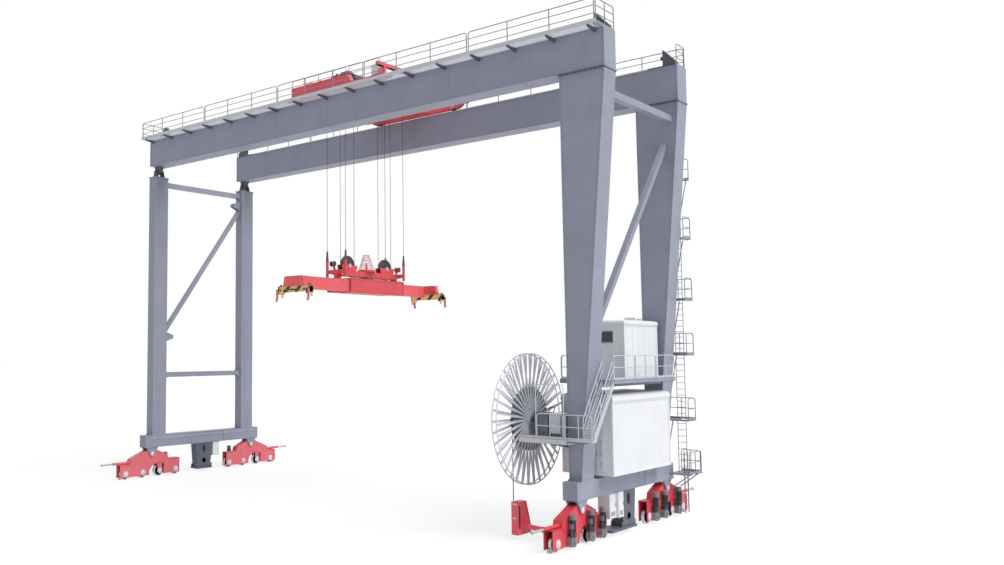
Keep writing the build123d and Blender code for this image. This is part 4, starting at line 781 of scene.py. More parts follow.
@dataclass
class Bogie(Assembly):
    """One four wheel bogie: red box, turned wheels, gear motors and a buffer."""

    side: int = 1
    end: int = -1
    pivot_y: float = 4.5
    pivot_z: float = 1.56
    half_width: float = 0.2
    plate: float = 0.03
    wheel_pitch: float = 1.37
    wheel_radius: float = 0.375
    tread_radius: float = 0.35
    outline: tuple[Pair, ...] = ((2.5, 0.15), (2.5, 0.98), (1.73, 0.98), (1.65, 1.29), (0.42, 1.78),
                                 (-0.42, 1.78), (-1.3, 1.42), (-1.38, 1.13), (-2.33, 1.13), (-2.33, 0.15))
    opening: tuple[Pair, ...] = ((-0.17, 0.15), (-0.17, 0.40), (-0.05, 0.62), (0.15, 0.80), (0.40, 0.88),
                                 (0.95, 0.88), (1.06, 0.80), (1.06, 0.15))
    left_motors: tuple[float, ...] = (-1.6, -0.8)
    right_motors: tuple[float, ...] = (1.1, -0.6, -1.68)
    rib_runs: tuple[Pair, ...] = ((-1.75, 0.95), (-1.0, 1.2), (1.3, 1.2), (1.6, 0.95))

    @property
    def label(self) -> str:
        """Return the end of this bogie's node names."""
        return bogie_label(self.side, self.end)

    @property
    def paint(self) -> Finish:
        """Return the red of this side's bogies; the left ones take the lighter copy of the red, painted
        light.
        """
        return BOGIE_RED if self.side > 0 else LIGHTER_RED_PAINTED_LIGHT

    @property
    def motor_runs(self) -> tuple[float, ...]:
        """Return the runs of this side's motors."""
        return self.right_motors if self.side > 0 else self.left_motors

    @property
    def wheel_runs(self) -> list[float]:
        """Return the runs of the four wheels."""
        return [share * self.wheel_pitch for share in (-1.5, -0.5, 0.5, 1.5)]

    def place(self, run: float, height: float, off: float = 0.0) -> Vector:
        """Return a point by its run out from the pivot, its height and its distance from the middle."""
        return vec(self.side * (RUNWAY_X + off), self.end * (self.pivot_y + run), height)

    def box_between(self, piece: Workpiece, first: Vector, second: Vector, kind: int = 0) -> None:
        """Add the block that two opposite corners span."""
        piece.block([min(pair) for pair in zip(first, second)],
                    [max(pair) for pair in zip(first, second)], kind)

    def box(self) -> None:
        """Weld the peaked box of plates, open under its arch, with its axle arms and inner ribs."""
        piece = self.start(f"bogie_box_{self.label}", "red_steel", self.paint, IRON)
        across, width = X_AXIS * self.side, 2 * self.half_width - 0.01
        lower = [(self.end * run, height) for run, height in self.opening][::self.end]
        for off in (-self.half_width, self.half_width - self.plate):
            piece.prism([self.place(run, height, off) for run, height in (*self.outline, *lower)],
                        across * self.plate)
        steep = [pair for pair in zip(self.outline, self.outline[1:]) if abs(pair[0][0] - pair[1][0]) >= 0.01]
        arch = [pair for pair in zip(lower, lower[1:]) if max(pair[0][1], pair[1][1]) >= 0.5]
        for pairs, lift in ((steep, -0.012), (arch, 0.012)):
            for start, end in pairs:
                piece.bar(self.place(*start) + UP * lift, self.place(*end) + UP * lift, width, 0.024)
        for run in (-self.wheel_pitch, self.wheel_pitch):
            self.box_between(piece, self.place(run - 0.01, 0.30, -0.17), self.place(run + 0.01, 0.90, 0.17))
        arm = self.end * self.wheel_pitch / 2
        for off in (-self.half_width, self.half_width - 0.05):
            yoke = ((-0.20, 0.90), (0.20, 0.90), (0.10, 0.30), (-0.10, 0.30))
            piece.prism([self.place(arm + run, height, off) for run, height in yoke], across * 0.05)
        piece.turned(self.place(0.0, self.pivot_z, -0.29), across, [(0.094, 0.0), (0.094, 0.58)], 28, 1)
        piece.done([f"bogie_{self.label}"], 0.006)

    def wheels(self) -> None:
        """Turn the flanged wheels and their axles."""
        piece = self.start(f"turned_wheels_{self.label}", "wheel_steel", IRON, BRIGHT)
        tread, flange = self.tread_radius, self.wheel_radius
        dish = [(0.06, -0.134), (0.06, -0.088), (0.14, -0.084), (0.16, -0.05), (0.29, -0.045), (0.31, -0.08)]
        tyre = [(0.31, -0.08), (flange - 0.01, -0.08), (flange, -0.07), (flange, -0.062), (tread, -0.05)]
        for run in self.wheel_runs:
            hub = self.place(run, self.wheel_radius)
            piece.turned(hub, X_AXIS, dish, 40)
            piece.turned(hub, X_AXIS, mirrored(tyre), 48, 1)
            piece.turned(hub, X_AXIS, mirrored(dish)[len(dish):], 40)
        piece.done([f"wheels_{self.label}"])

    def motors(self) -> None:
        """Build the ribbed gear motors and their round gearboxes."""
        piece = self.start(f"gear_motors_{self.label}", "motor_grey", MOTOR, GEARBOX, BRIGHT)
        outward = X_AXIS * self.side
        for run in self.motor_runs:
            hub = self.place(run, self.wheel_radius, self.half_width)
            piece.turned(hub, outward, [(0.20, 0.0), (0.25, 0.02), (0.25, 0.05), (0.235, 0.06), (0.235, 0.2),
                                        (0.25, 0.21), (0.25, 0.24), (0.19, 0.255), (0.12, 0.275),
                                        (0.10, 0.325)],
                         36, 1)
            piece.disc_bolts(hub + outward * 0.24, outward, 0.222, 12, 0.012, 2)
            piece.disc_bolts(hub + outward * 0.325, outward, 0.07, 6, 0.009, 2)
            foot = hub + outward * 0.175
            foot.z = 0.0
            piece.turned(foot, UP, [(0.13, 0.55), (0.13, 0.64), (0.17, 0.645), (0.17, 0.675), (0.12, 0.69),
                                    (0.12, 0.74), (0.16, 0.745), (0.16, 0.775)])
            piece.disc_bolts(foot + UP * 0.775, UP, 0.145, 8, 0.010, 2)
            piece.finned(foot + UP * 0.78, UP * 0.50, (X_AXIS, Y_AXIS), 28,
                         ((0.0, 0.14), (0.38, 0.14), (0.45, 0.118), (0.93, 0.118)))
            piece.turned(foot, UP, [(0.12, 1.28), (0.148, 1.29), (0.148, 1.44), (0.135, 1.485), (0.09, 1.50),
                                    (0.0, 1.505)], 32, 1)
            box = foot + outward * 0.04 + Y_AXIS * self.end * 0.17
            piece.post(box.x, box.y, 0.07, 0.05, 0.92, 1.12, 1)
            piece.pipe([box + UP * 0.92, box + UP * 0.6, hub - outward * 0.02 + UP * 0.42], 0.016, 8, 0.08, 1)
        piece.done([f"motors_{self.label}"], 0.004)

    def hub_covers(self, piece: Workpiece, off: float) -> None:
        """Fit the axle covers to one side plate.

        Args:
            piece: The bogie's ironwork.
            off: Where the side plate stands.
        """
        axis = X_AXIS * self.side * math.copysign(1, off)
        for run in self.wheel_runs:
            if off > 0 and any(abs(run - motor) < 0.35 for motor in self.motor_runs):
                continue
            hub = self.place(run, self.wheel_radius, off)
            piece.turned(hub, axis,
                         [(0.19, -0.01), (0.19, 0.018), (0.17, 0.026), (0.10, 0.028), (0.095, 0.05),
                          (0.08, 0.058), (0.0, 0.06)], 32, 1)
            piece.disc_bolts(hub + axis * 0.02, axis, 0.145, 8, 0.013, 2)

    def buffer(self, piece: Workpiece) -> None:
        """Fit the buffer tube, the end plate's lips and the rail sweeper.

        Args:
            piece: The bogie's ironwork.
        """
        along = Y_AXIS * self.end
        tube = self.place(1.72, 1.075)
        piece.turned(tube, along, [(0.11, 0.0), (0.11, 0.10), (0.084, 0.12), (0.084, 1.19), (0.095, 1.195),
                                   (0.095, 1.228), (0.056, 1.23)], 28)
        piece.turned(tube, along, [(0.056, 1.22), (0.056, 2.06)], 24, 3)
        piece.turned(tube, along, [(0.075, 2.02), (0.085, 2.04), (0.085, 2.10), (0.07, 2.128)], 24, 3)
        for off in (-self.half_width, self.half_width - self.plate):
            for height in (0.17, 0.9):
                self.box_between(piece, self.place(2.46, height, off),
                                 self.place(2.499, height + 0.06, off + self.plate))
        sweeper = self.place(2.42, 0.12)
        piece.post(sweeper.x, sweeper.y, 0.12, 0.02, 0.03, 0.17, 3)

    def ironwork(self) -> None:
        """Fit the lips, ribs, hub covers, pivot caps and the buffer."""
        piece = self.start(f"bogie_ironwork_{self.label}", "red_steel", self.paint, SPOKE, BRIGHT, ZINC)
        for face in SIDES:
            off = face * self.half_width
            edge = off + face * 0.012
            for (run, height), (next_run, next_height) in zip(self.outline, self.outline[1:]):
                piece.bar(self.place(run, height - 0.02, edge),
                          self.place(next_run, next_height - 0.02, edge), 0.035, 0.04)
            self.hub_covers(piece, off)
            for run, high in self.rib_runs:
                piece.bar(self.place(run, 0.82, edge), self.place(run, high, edge), 0.02, 0.035, Y_AXIS)
        for face in SIDES:
            cap, axis = self.place(0.0, self.pivot_z, face * 0.29), X_AXIS * face * self.side
            piece.turned(cap, axis, [(0.13, -0.01), (0.13, 0.016), (0.05, 0.022), (0.0, 0.024)], 24, 1)
            piece.disc_bolts(cap + axis * 0.016, axis, 0.095, 6, 0.012, 2)
        self.buffer(piece)
        piece.done(bevel=0.004)

    def build(self) -> None:
        """Build the bogie's pieces."""
        self.box()
        self.wheels()
        self.motors()
        self.ironwork()


@dataclass
class SillEquipment(Assembly):
    """Cabinets, cable tray and trimmings on and under the sills."""

    sill_levels: Pair = (1.97, 2.77)
    half_length: float = 5.08
    cabinet_fronts: tuple[tuple[float, float, float], ...] = ((-1.315, -0.795, 15.96),
                                                              (-1.955, -1.315, 15.83))
    cabinet_low: float = 0.82
    door_top: float = 1.93
    left_span: Pair = (0.795, 1.395)

    def cabinets(self) -> None:
        """Fit doors, handles and slats to the cabinets under the sills."""
        dress(WHITE, "sill_cabinets")
        piece = self.start("sill_cabinet_doors", "white_panel", WHITE, CABINET)
        low, top = self.cabinet_low, self.door_top
        for near, far, face in self.cabinet_fronts:
            leaf = face + 0.018
            piece.block((face - 0.002, near + 0.03, low + 0.04), (leaf, far - 0.03, top))
            piece.block((leaf, far - 0.09, 1.35), (face + 0.034, far - 0.06, 1.5), 1)
            for z in evenly(low + 0.12, low + 0.3, 0.03):
                piece.block((leaf, near + 0.1, z), (face + 0.026, far - 0.14, z + 0.012), 1)
        near, far = self.left_span
        for x in (-RUNWAY_X - 0.289, -RUNWAY_X + 0.289):
            piece.post(x, (near + far) / 2, 0.009, (far - near) / 2 - 0.03, 1.06, top)
        piece.done(bevel=0.006)

    def trimmings(self) -> None:
        """Fit the end plates, cable pipes and pedestal rings of the sills."""
        piece = self.start("sill_trimmings", "structure", STEEL, ZINC, BRIGHT, PEDESTAL_PAINTED_SHADE)
        low, high = self.sill_levels
        for side in SIDES:
            x = side * RUNWAY_X
            for end in SIDES:
                y, face = end * self.half_length, end * (self.half_length + 0.012)
                piece.post(x, y, 0.3, 0.012, low + 0.06, high - 0.06)
                piece.bolt_row((x - 0.28, face, low + 0.1), (x + 0.28, face, low + 0.1), 6,
                               Y_AXIS * end, 0.014, 2)
            inner = x - side * 0.36
            for z in (high - 0.16, high - 0.23):
                piece.pipe([(inner, -4.6, z), (inner, 4.6, z)], 0.024, kind=1)
            for y in evenly(-4.5, 4.5, 1.5):
                piece.post(inner, y, 0.03, 0.03, high - 0.28, high - 0.1, 1)
        # The pedestal rings take the darker copy of the steel paint: painted shade.
        for x in (-RUNWAY_X, RUNWAY_X):
            for face in SIDES:
                piece.turned((x + face * 0.28, 0.0, 0.75), X_AXIS * face,
                             [(0.20, 0.0), (0.20, 0.02), (0.165, 0.02), (0.165, 0.0)], 32, 3)
        piece.done(bevel=0.004)

    def build(self) -> None:
        """Build the sills' pieces."""
        self.cabinets()
        self.trimmings()


@dataclass
class CableReel(Assembly):
    """The spoked cable reel with its wound cable and the cable that runs down to the guide."""

    centre: Place = (13.0, -4.03, 5.352)
    radius: float = 3.03
    spacing: float = 0.23
    pack_radius: float = 1.47
    coil_start: float = 0.30
    coil_turns: int = 27
    flange_radius: float = 0.56
    hub_radius: float = 0.26
    spoke_count: int = 36
    spoke_width: float = 0.112
    ground_body: str = "gantry"

    def spoked_rims(self) -> None:
        """Bend the two rims and set the channel shaped spokes between rim and hub flange."""
        piece = self.start("reel_rims_and_spokes", "reel_grey", SPOKE, BRIGHT, CABINET)
        hub, rim, flange = Vector(self.centre), self.radius, self.flange_radius
        for side in SIDES:
            x, out = side * self.spacing / 2, X_AXIS * side
            piece.turned(hub, X_AXIS, [(rim - 0.05, x - 0.02), (rim - 0.012, x - 0.02), (rim, x - 0.008),
                                       (rim, x + 0.008), (rim - 0.012, x + 0.02), (rim - 0.05, x + 0.02),
                                       (rim - 0.05, x - 0.02)], 96)
            piece.turned(hub, out, [(self.hub_radius, 0.09), (flange, 0.105), (flange, 0.122),
                                    (self.hub_radius, 0.135), (self.hub_radius, 0.165), (0.12, 0.165)], 48)
            piece.disc_bolts(hub + out * 0.12, out, 0.47, 24, 0.016, 1)
            piece.disc_bolts(hub + out * 0.165, out, 0.19, 12, 0.014, 1)
            for spoke in range(self.spoke_count):
                turn = math.tau * (spoke + (0.25 if side > 0 else 0.0)) / self.spoke_count
                across = wheel_ray(turn + math.pi / 2)
                start, end = (hub + X_AXIS * x + wheel_ray(turn) * reach
                              for reach in (flange - 0.04, rim - 0.03))
                piece.bar(start, end, self.spoke_width, 0.007, across)
                for lean in SIDES:
                    shift = across * lean * (self.spoke_width / 2 - 0.003) + out * 0.014
                    piece.bar(start + shift, end + shift, 0.006, 0.030, across)
        for spoke in range(self.spoke_count // 2):
            ray = wheel_ray(math.tau * (spoke * 2 + 0.6) / self.spoke_count)
            for reach in (1.56, rim - 0.03):
                for stub in (X_AXIS * -0.115, X_AXIS * 0.115):
                    spot = hub + ray * reach + stub
                    piece.pipe([spot, spot - stub * 0.48], 0.014)
        piece.turned(hub - X_AXIS * 0.165, -X_AXIS, [(0.15, 0.0), (0.15, 0.0005), (0.08, 0.0008)], 24, 2)
        piece.done(["cable_reel"])

    def wound_cable(self) -> None:
        """Wind the flat coil of cable between the spokes."""
        piece = self.start("reel_wound_cable", "cable_black", CABLE)
        pitch = (self.pack_radius - self.coil_start) / self.coil_turns
        profile = [(0.275, -0.085)]
        for start in (self.coil_start + turn * pitch for turn in range(self.coil_turns)):
            profile += [(start + pitch * share, -0.086 - 0.016 * math.sin(math.pi * share))
                        for share in (0.02, 0.2, 0.5, 0.8, 0.98)]
        piece.turned(self.centre, X_AXIS, mirrored(profile), 96)
        piece.done(["reel_cable_pack"])

    def hanging_cable(self) -> None:
        """Lead the taut cable from the coil down to the guide."""
        piece = Workpiece("reel_down_cable", self.ground_body, "cable_black", (RUBBER,))
        x, y, z = self.centre
        drop = y - self.pack_radius - 0.022
        piece.pipe([(x, drop, z + 0.05), (x, drop, 1.76)], 0.021, 12)
        piece.done()

    def build(self) -> None:
        """Build the reel's pieces."""
        self.spoked_rims()
        self.wound_cable()
        self.hanging_cable()


@dataclass
class ReelPlatform(Assembly):
    """The bracketed deck with the reel's gearbox and cabinets, and the cable guide below."""

    deck_x: Pair = (13.32, 15.72)
    deck_y: Pair = (-5.55, -3.3)
    deck_top: float = 4.65
    deck_depth: float = 0.23
    step_end: float = 16.875
    leg_face: Pair = (15.2387, -4.55)
    bracket_root: float = 0.20
    shaft: Pair = (-4.03, 5.352)
    motor_face_x: float = 14.05
    motor_z: float = 5.45
    motor_ribs: int = 16
    guide_body: str = "bogie_right_near"
    guide_x: float = 13.03
    guide_y: Pair = (-5.5, -4.42)
    guide_arm: float = -5.05

    def frame(self) -> None:
        """Weld the deck from plate, edge channels and joists, on shallow brackets at the leg."""
        piece = self.start("reel_deck_frame", "structure", PALE_ZINC, CABINET)
        (x0, x1), (y0, y1), top, (leg_x, leg_y) = self.deck_x, self.deck_y, self.deck_top, self.leg_face
        low = top - self.deck_depth
        outline = [(x0, y0), (x1, y0), (x1, leg_y), (leg_x, leg_y), (leg_x, y1), (x0, y1)]
        piece.plate(2, top - 0.012, outline, 0.012)
        for start, end in zip(outline, outline[1:] + outline[:1]):
            foot, along = vec(*start, low), vec(*end, low) - vec(*start, low)
            inward = UP.cross(along).normalized()
            for reach, rise, kind in ((0.014, self.deck_depth - 0.012, 0), (0.07, 0.012, 1)):
                lip = foot + inward * reach
                piece.prism([foot, lip, lip + UP * rise, foot + UP * rise], along, kind)
        for y in evenly(y0 + 0.35, y1 - 0.35, 0.5):
            piece.block((x0 + 0.015, y - 0.03, low + 0.03),
                        ((x1 if y < leg_y else leg_x) - 0.015, y + 0.03, top - 0.012), 1)
        tip, root = x0 + 0.3, low - self.bracket_root
        for y in (leg_y + 0.03, leg_y + 1.07):
            piece.plate(1, y, [(leg_x, low), (tip, low), (tip, low - 0.04), (leg_x, root)], 0.02, 1)
            piece.bar((tip, y + 0.01, low - 0.045), (leg_x, y + 0.01, root - 0.005), 0.12, 0.014, Y_AXIS, 1)
        piece.block((x1, y0, top - 0.06), (self.step_end, y0 + 0.42, top - 0.001))
        for y in (y0 + 0.02, y0 + 0.38):
            piece.block((x1, y, top - 0.13), (self.step_end - 0.3, y + 0.02, top - 0.06), 1)
        piece.done(["reel_platform"], 0.004)

    def deck(self) -> None:
        """Lay the tread plates, fascia lips and toe boards."""
        piece = self.start("reel_deck_trim", "galvanised", PALE_ZINC, ZINC)
        (x0, x1), (y0, y1), top = self.deck_x, self.deck_y, self.deck_top
        for first, last, reach in ((x0 + 0.06, 14.9, y1 - 0.06), (15.0, self.step_end - 0.06, y0 + 0.4)):
            for x in evenly(first, last, 0.11):
                piece.block((x - 0.02, y0 + 0.06, top), (x + 0.02, reach, top + 0.006))
        piece.block((x0, y0, top), (x1, y0 + 0.01, top + 0.1), 1)
        for z in (top - 0.235, top - 0.01):
            piece.block((x0, y0, z), (x1, y0 + 0.05, z + 0.012), 1)
        for y in evenly(y0 + 0.1, y1 - 0.1, 0.5):
            piece.block((x0 - 0.004, y - 0.02, top - 0.22), (x0 + 0.01, y + 0.02, top - 0.01), 1)
        piece.done()

    def drive(self) -> None:
        """Fit covers, doors, fans and pipes to the reel drive."""
        dress(CABINET, "reel_drive")
        piece = self.start("reel_drive_fittings", "cabinet_grey", MOTOR, PALE_ZINC, BRIGHT, CABINET)
        top, (shaft_y, shaft_z) = self.deck_top, self.shaft
        piece.turned((13.42, shaft_y, shaft_z), -X_AXIS,
                     [(0.30, 0.0), (0.30, 0.03), (0.22, 0.05), (0.16, 0.14),
                      (0.118, 0.15), (0.118, 0.24)], 36)
        piece.disc_bolts((13.39, shaft_y, shaft_z), -X_AXIS, 0.265, 12, 0.014, 2)
        for motor in (vec(self.motor_face_x, y, self.motor_z) for y in (shaft_y - 0.2, shaft_y + 0.2)):
            piece.turned(motor, X_AXIS, [(0.14, 0.0), (0.14, 0.03), (0.12, 0.04), (0.12, 0.30), (0.13, 0.31),
                                         (0.13, 0.38), (0.09, 0.40), (0.0, 0.405)], 28)
            for turn in (math.tau * rib / self.motor_ribs for rib in range(self.motor_ribs)):
                spot = motor + X_AXIS * 0.05 + wheel_ray(turn) * 0.12
                piece.bar(spot, spot + X_AXIS * 0.24, 0.012, 0.03, wheel_ray(turn + math.pi / 2))
        piece.blocks([(13.40, -4.37, z, 14.07, -3.69, z + 0.03, 0) for z in (0.15, 0.6, 0.98)], top)
        piece.blocks([(14.16, -5.158, 0.06, 14.55, -5.148, 0.96, 3),
                      (14.49, -5.17, 0.45, 14.51, -5.158, 0.6, 2)], top)
        piece.blocks([(14.22, -5.166, z, 14.44, -5.158, z + 0.012, 3) for z in evenly(0.12, 0.3, 0.03)], top)
        piece.blocks([(14.10, -5.17, 1.02, 14.61, -4.33, 1.045, 3),
                      (14.652, -5.148, 0.18, 15.198, -4.502, 1.064, 1),
                      (14.67, -5.16, 0.21, 15.18, -5.147, 1.03, 1),
                      (15.11, -5.172, 0.53, 15.13, -5.16, 0.68, 2),
                      (14.62, -5.18, 1.06, 15.23, -4.47, 1.09, 1)], top)
        piece.pipe([(14.35, -4.6, top + 1.02), (14.35, -4.6, top + 1.3), (14.35, shaft_y, top + 1.3),
                    (14.2, shaft_y, top + 0.95)], 0.02, 8, 0.1)
        piece.done(bevel=0.005)

    def guide(self) -> None:
        """Dress the cable guide and fit its rollers, slot lips and gusset."""
        dress(BRIGHT_RED_WITH_PAINTED_LIGHT, "cable_guide")
        piece = Workpiece("cable_guide_fittings", self.guide_body, "red_steel", (BRIGHT_RED_WITH_PAINTED_LIGHT, RUBBER, BRIGHT))
        x, (near, far) = self.guide_x, self.guide_y
        lips = ((near + 0.72, 1.66, far - 0.02, 0.64), (near + 0.03, 1.68, near + 0.7, 1.68),
                (far - 0.02, 0.62, far - 0.02, 0.26), (near + 0.03, 0.26, far - 0.03, 0.26))
        for edge in (x - 0.165, x + 0.165):
            piece.block((edge - 0.004, near + 0.09, 0.5), (edge + 0.004, near + 0.22, 1.52), 1)
            for y0, z0, y1, z1 in lips:
                piece.bar((edge, y0, z0), (edge, y1, z1), 0.04, 0.03)
        roller = [(0.04, 0.0), (0.055, 0.03), (0.055, 0.21), (0.04, 0.24)]
        for z in (0.97, 1.60):
            for y in (near + 0.05, near + 0.16):
                piece.turned((x - 0.12, y, z), X_AXIS, roller, 20, 2)
        piece.block((x - 0.08, near + 0.01, 1.69), (x + 0.08, near + 0.25, 1.703), 1)
        piece.plate(1, self.guide_arm - 0.01, [(x + 0.16, 0.5), (x + 0.55, 0.56), (x + 0.16, 1.2)], 0.02)
        piece.turned((14.18, self.guide_arm, 0.565), X_AXIS,
                     [(0.118, 0.0), (0.128, 0.01), (0.128, 0.10), (0.118, 0.12)], 28, 1)
        piece.disc_bolts((14.29, self.guide_arm, 0.56), X_AXIS, 0.10, 8, 0.012, 2)
        piece.done(bevel=0.004)

    def build(self) -> None:
        """Build the platform's pieces."""
        self.frame()
        self.deck()
        self.drive()
        self.guide()


@dataclass
class PlatformRails(Assembly):
    """The guard rails of both platforms, the lifting portal and the steep stair."""

    rails_x: Pair = (16.855, 14.295)
    rails_y: Pair = (-3.355, 3.2)
    top: float = 7.2
    deck_y: float = -5.505
    deck_top: float = 4.65
    portal_x: Pair = (14.1925, 15.55)
    portal_head: float = 7.007
    toe_board: float = 0.1
    stair_x: Pair = (16.335, 16.875)
    stair_y: Pair = (-5.35, -3.4)
    step_rise: float = 0.2125
    tread_strips: tuple[tuple[float, float, float], ...] = ((3.1, 16.12, 16.82), (-0.6, 14.33, 16.0))

    def rails(self) -> None:
        """Bend the guard rails and the portal."""
        piece = self.start("platform_guard_rails", "galvanised", PALE_ZINC)
        (near, far), top, toe = self.rails_y, self.top, self.toe_board
        for x in self.rails_x:
            for start, end in ((near, -1.2), (-1.14, 1.03), (1.09, far)):
                piece.guard_rail((x, start + 0.03, top), (x, end, top), pitch=1.1, toe=toe)
        piece.guard_rail((self.rails_x[1] + 0.05, near, top), (15.18, near, top), pitch=1.0, toe=toe)
        y, deck, (x0, x1) = self.deck_y, self.deck_top, self.portal_x
        for start, end, pitch in ((14.24, 15.50, 0.7), (15.60, 16.85, 0.65)):
            piece.guard_rail((start, y, deck), (end, y, deck), pitch=pitch, toe=toe)
        piece.pipe([(x0, y, deck), (x0, y, self.portal_head), (x1, y, self.portal_head), (x1, y, deck)],
                   0.024, 10, 0.14)
        for x in self.portal_x:
            piece.turned((x, y, deck), UP, [(0.055, 0.0), (0.055, 0.012), (0.026, 0.02)], 16)
        piece.done(["platform_railings"])

    def stair(self) -> None:
        """Build the stair from folded stringers, grating treads and bent hand rails."""
        piece = self.start("steep_stair", "galvanised", PALE_ZINC, ZINC)
        (x0, x1), (y0, y1), base, top = self.stair_x, self.stair_y, self.deck_top, self.top
        rise, run = top - base, y1 - y0
        web = [(y0, base), (y0 + 0.19, base), (y1, top - 0.3), (y1, top), (y0, base + 0.12)]
        for x, fold in ((x0, 1), (x1, -1)):
            piece.plate(0, x, web, fold * 0.008)
            for lift in (0.275, 0.065):
                start = vec(x + fold * 0.022, y0 + 0.12, base + lift)
                piece.bar(start, start + vec(0.0, run, rise) * 0.9, 0.044, 0.008)
        steps = round(rise / self.step_rise)
        for share in (step / steps for step in range(1, steps)):
            y, z = y0 + run * share, base + rise * share
            for slat in evenly(y - 0.1, y + 0.1, 0.033):
                piece.block((x0 + 0.01, slat - 0.004, z - 0.028), (x1 - 0.01, slat + 0.004, z - 0.002), 1)
            piece.block((x0 + 0.01, y - 0.11, z - 0.03), (x1 - 0.01, y - 0.1, z))
            for x in (x0 + 0.012, x1 - 0.018):
                piece.block((x, y - 0.11, z - 0.03), (x + 0.006, y + 0.11, z - 0.002), 1)
        for x in (x0 + 0.0225, x1 - 0.0225):
            low, high = vec(x, y0 + 0.03, base + 0.10), vec(x, y1, top)
            piece.pipe([low, low + UP * 0.8, high + UP * 0.877, high + UP * 0.02], 0.021, 10, 0.2)
            piece.pipe([low + UP * 0.4, high + UP * 0.45], 0.018)
            for share in (0.34, 0.67):
                foot = low.lerp(high, share) + UP * 0.02
                piece.pipe([foot, foot + UP * 0.83], 0.019)
        piece.done(["platform_stair"])

    def deck(self) -> None:
        """Dress the house platform and lay the tread pattern on its open strips."""
        dress(STEEL, "house_platform")
        piece = self.start("house_platform_treads", "galvanised", PALE_ZINC, STEEL)
        top = self.top
        for last, x0, x1 in self.tread_strips:
            for y in evenly(-3.3, last, 0.12):
                piece.block((x0, y - 0.02, top), (x1, y + 0.02, top + 0.006))
        for z in (top - 0.19, top - 0.012):
            piece.block((16.84, -3.4, z), (16.9, 3.23, z + 0.012), 1)
        piece.done()

    def build(self) -> None:
        """Build the rails, the stair and the deck."""
        self.rails()
        self.stair()
        self.deck()


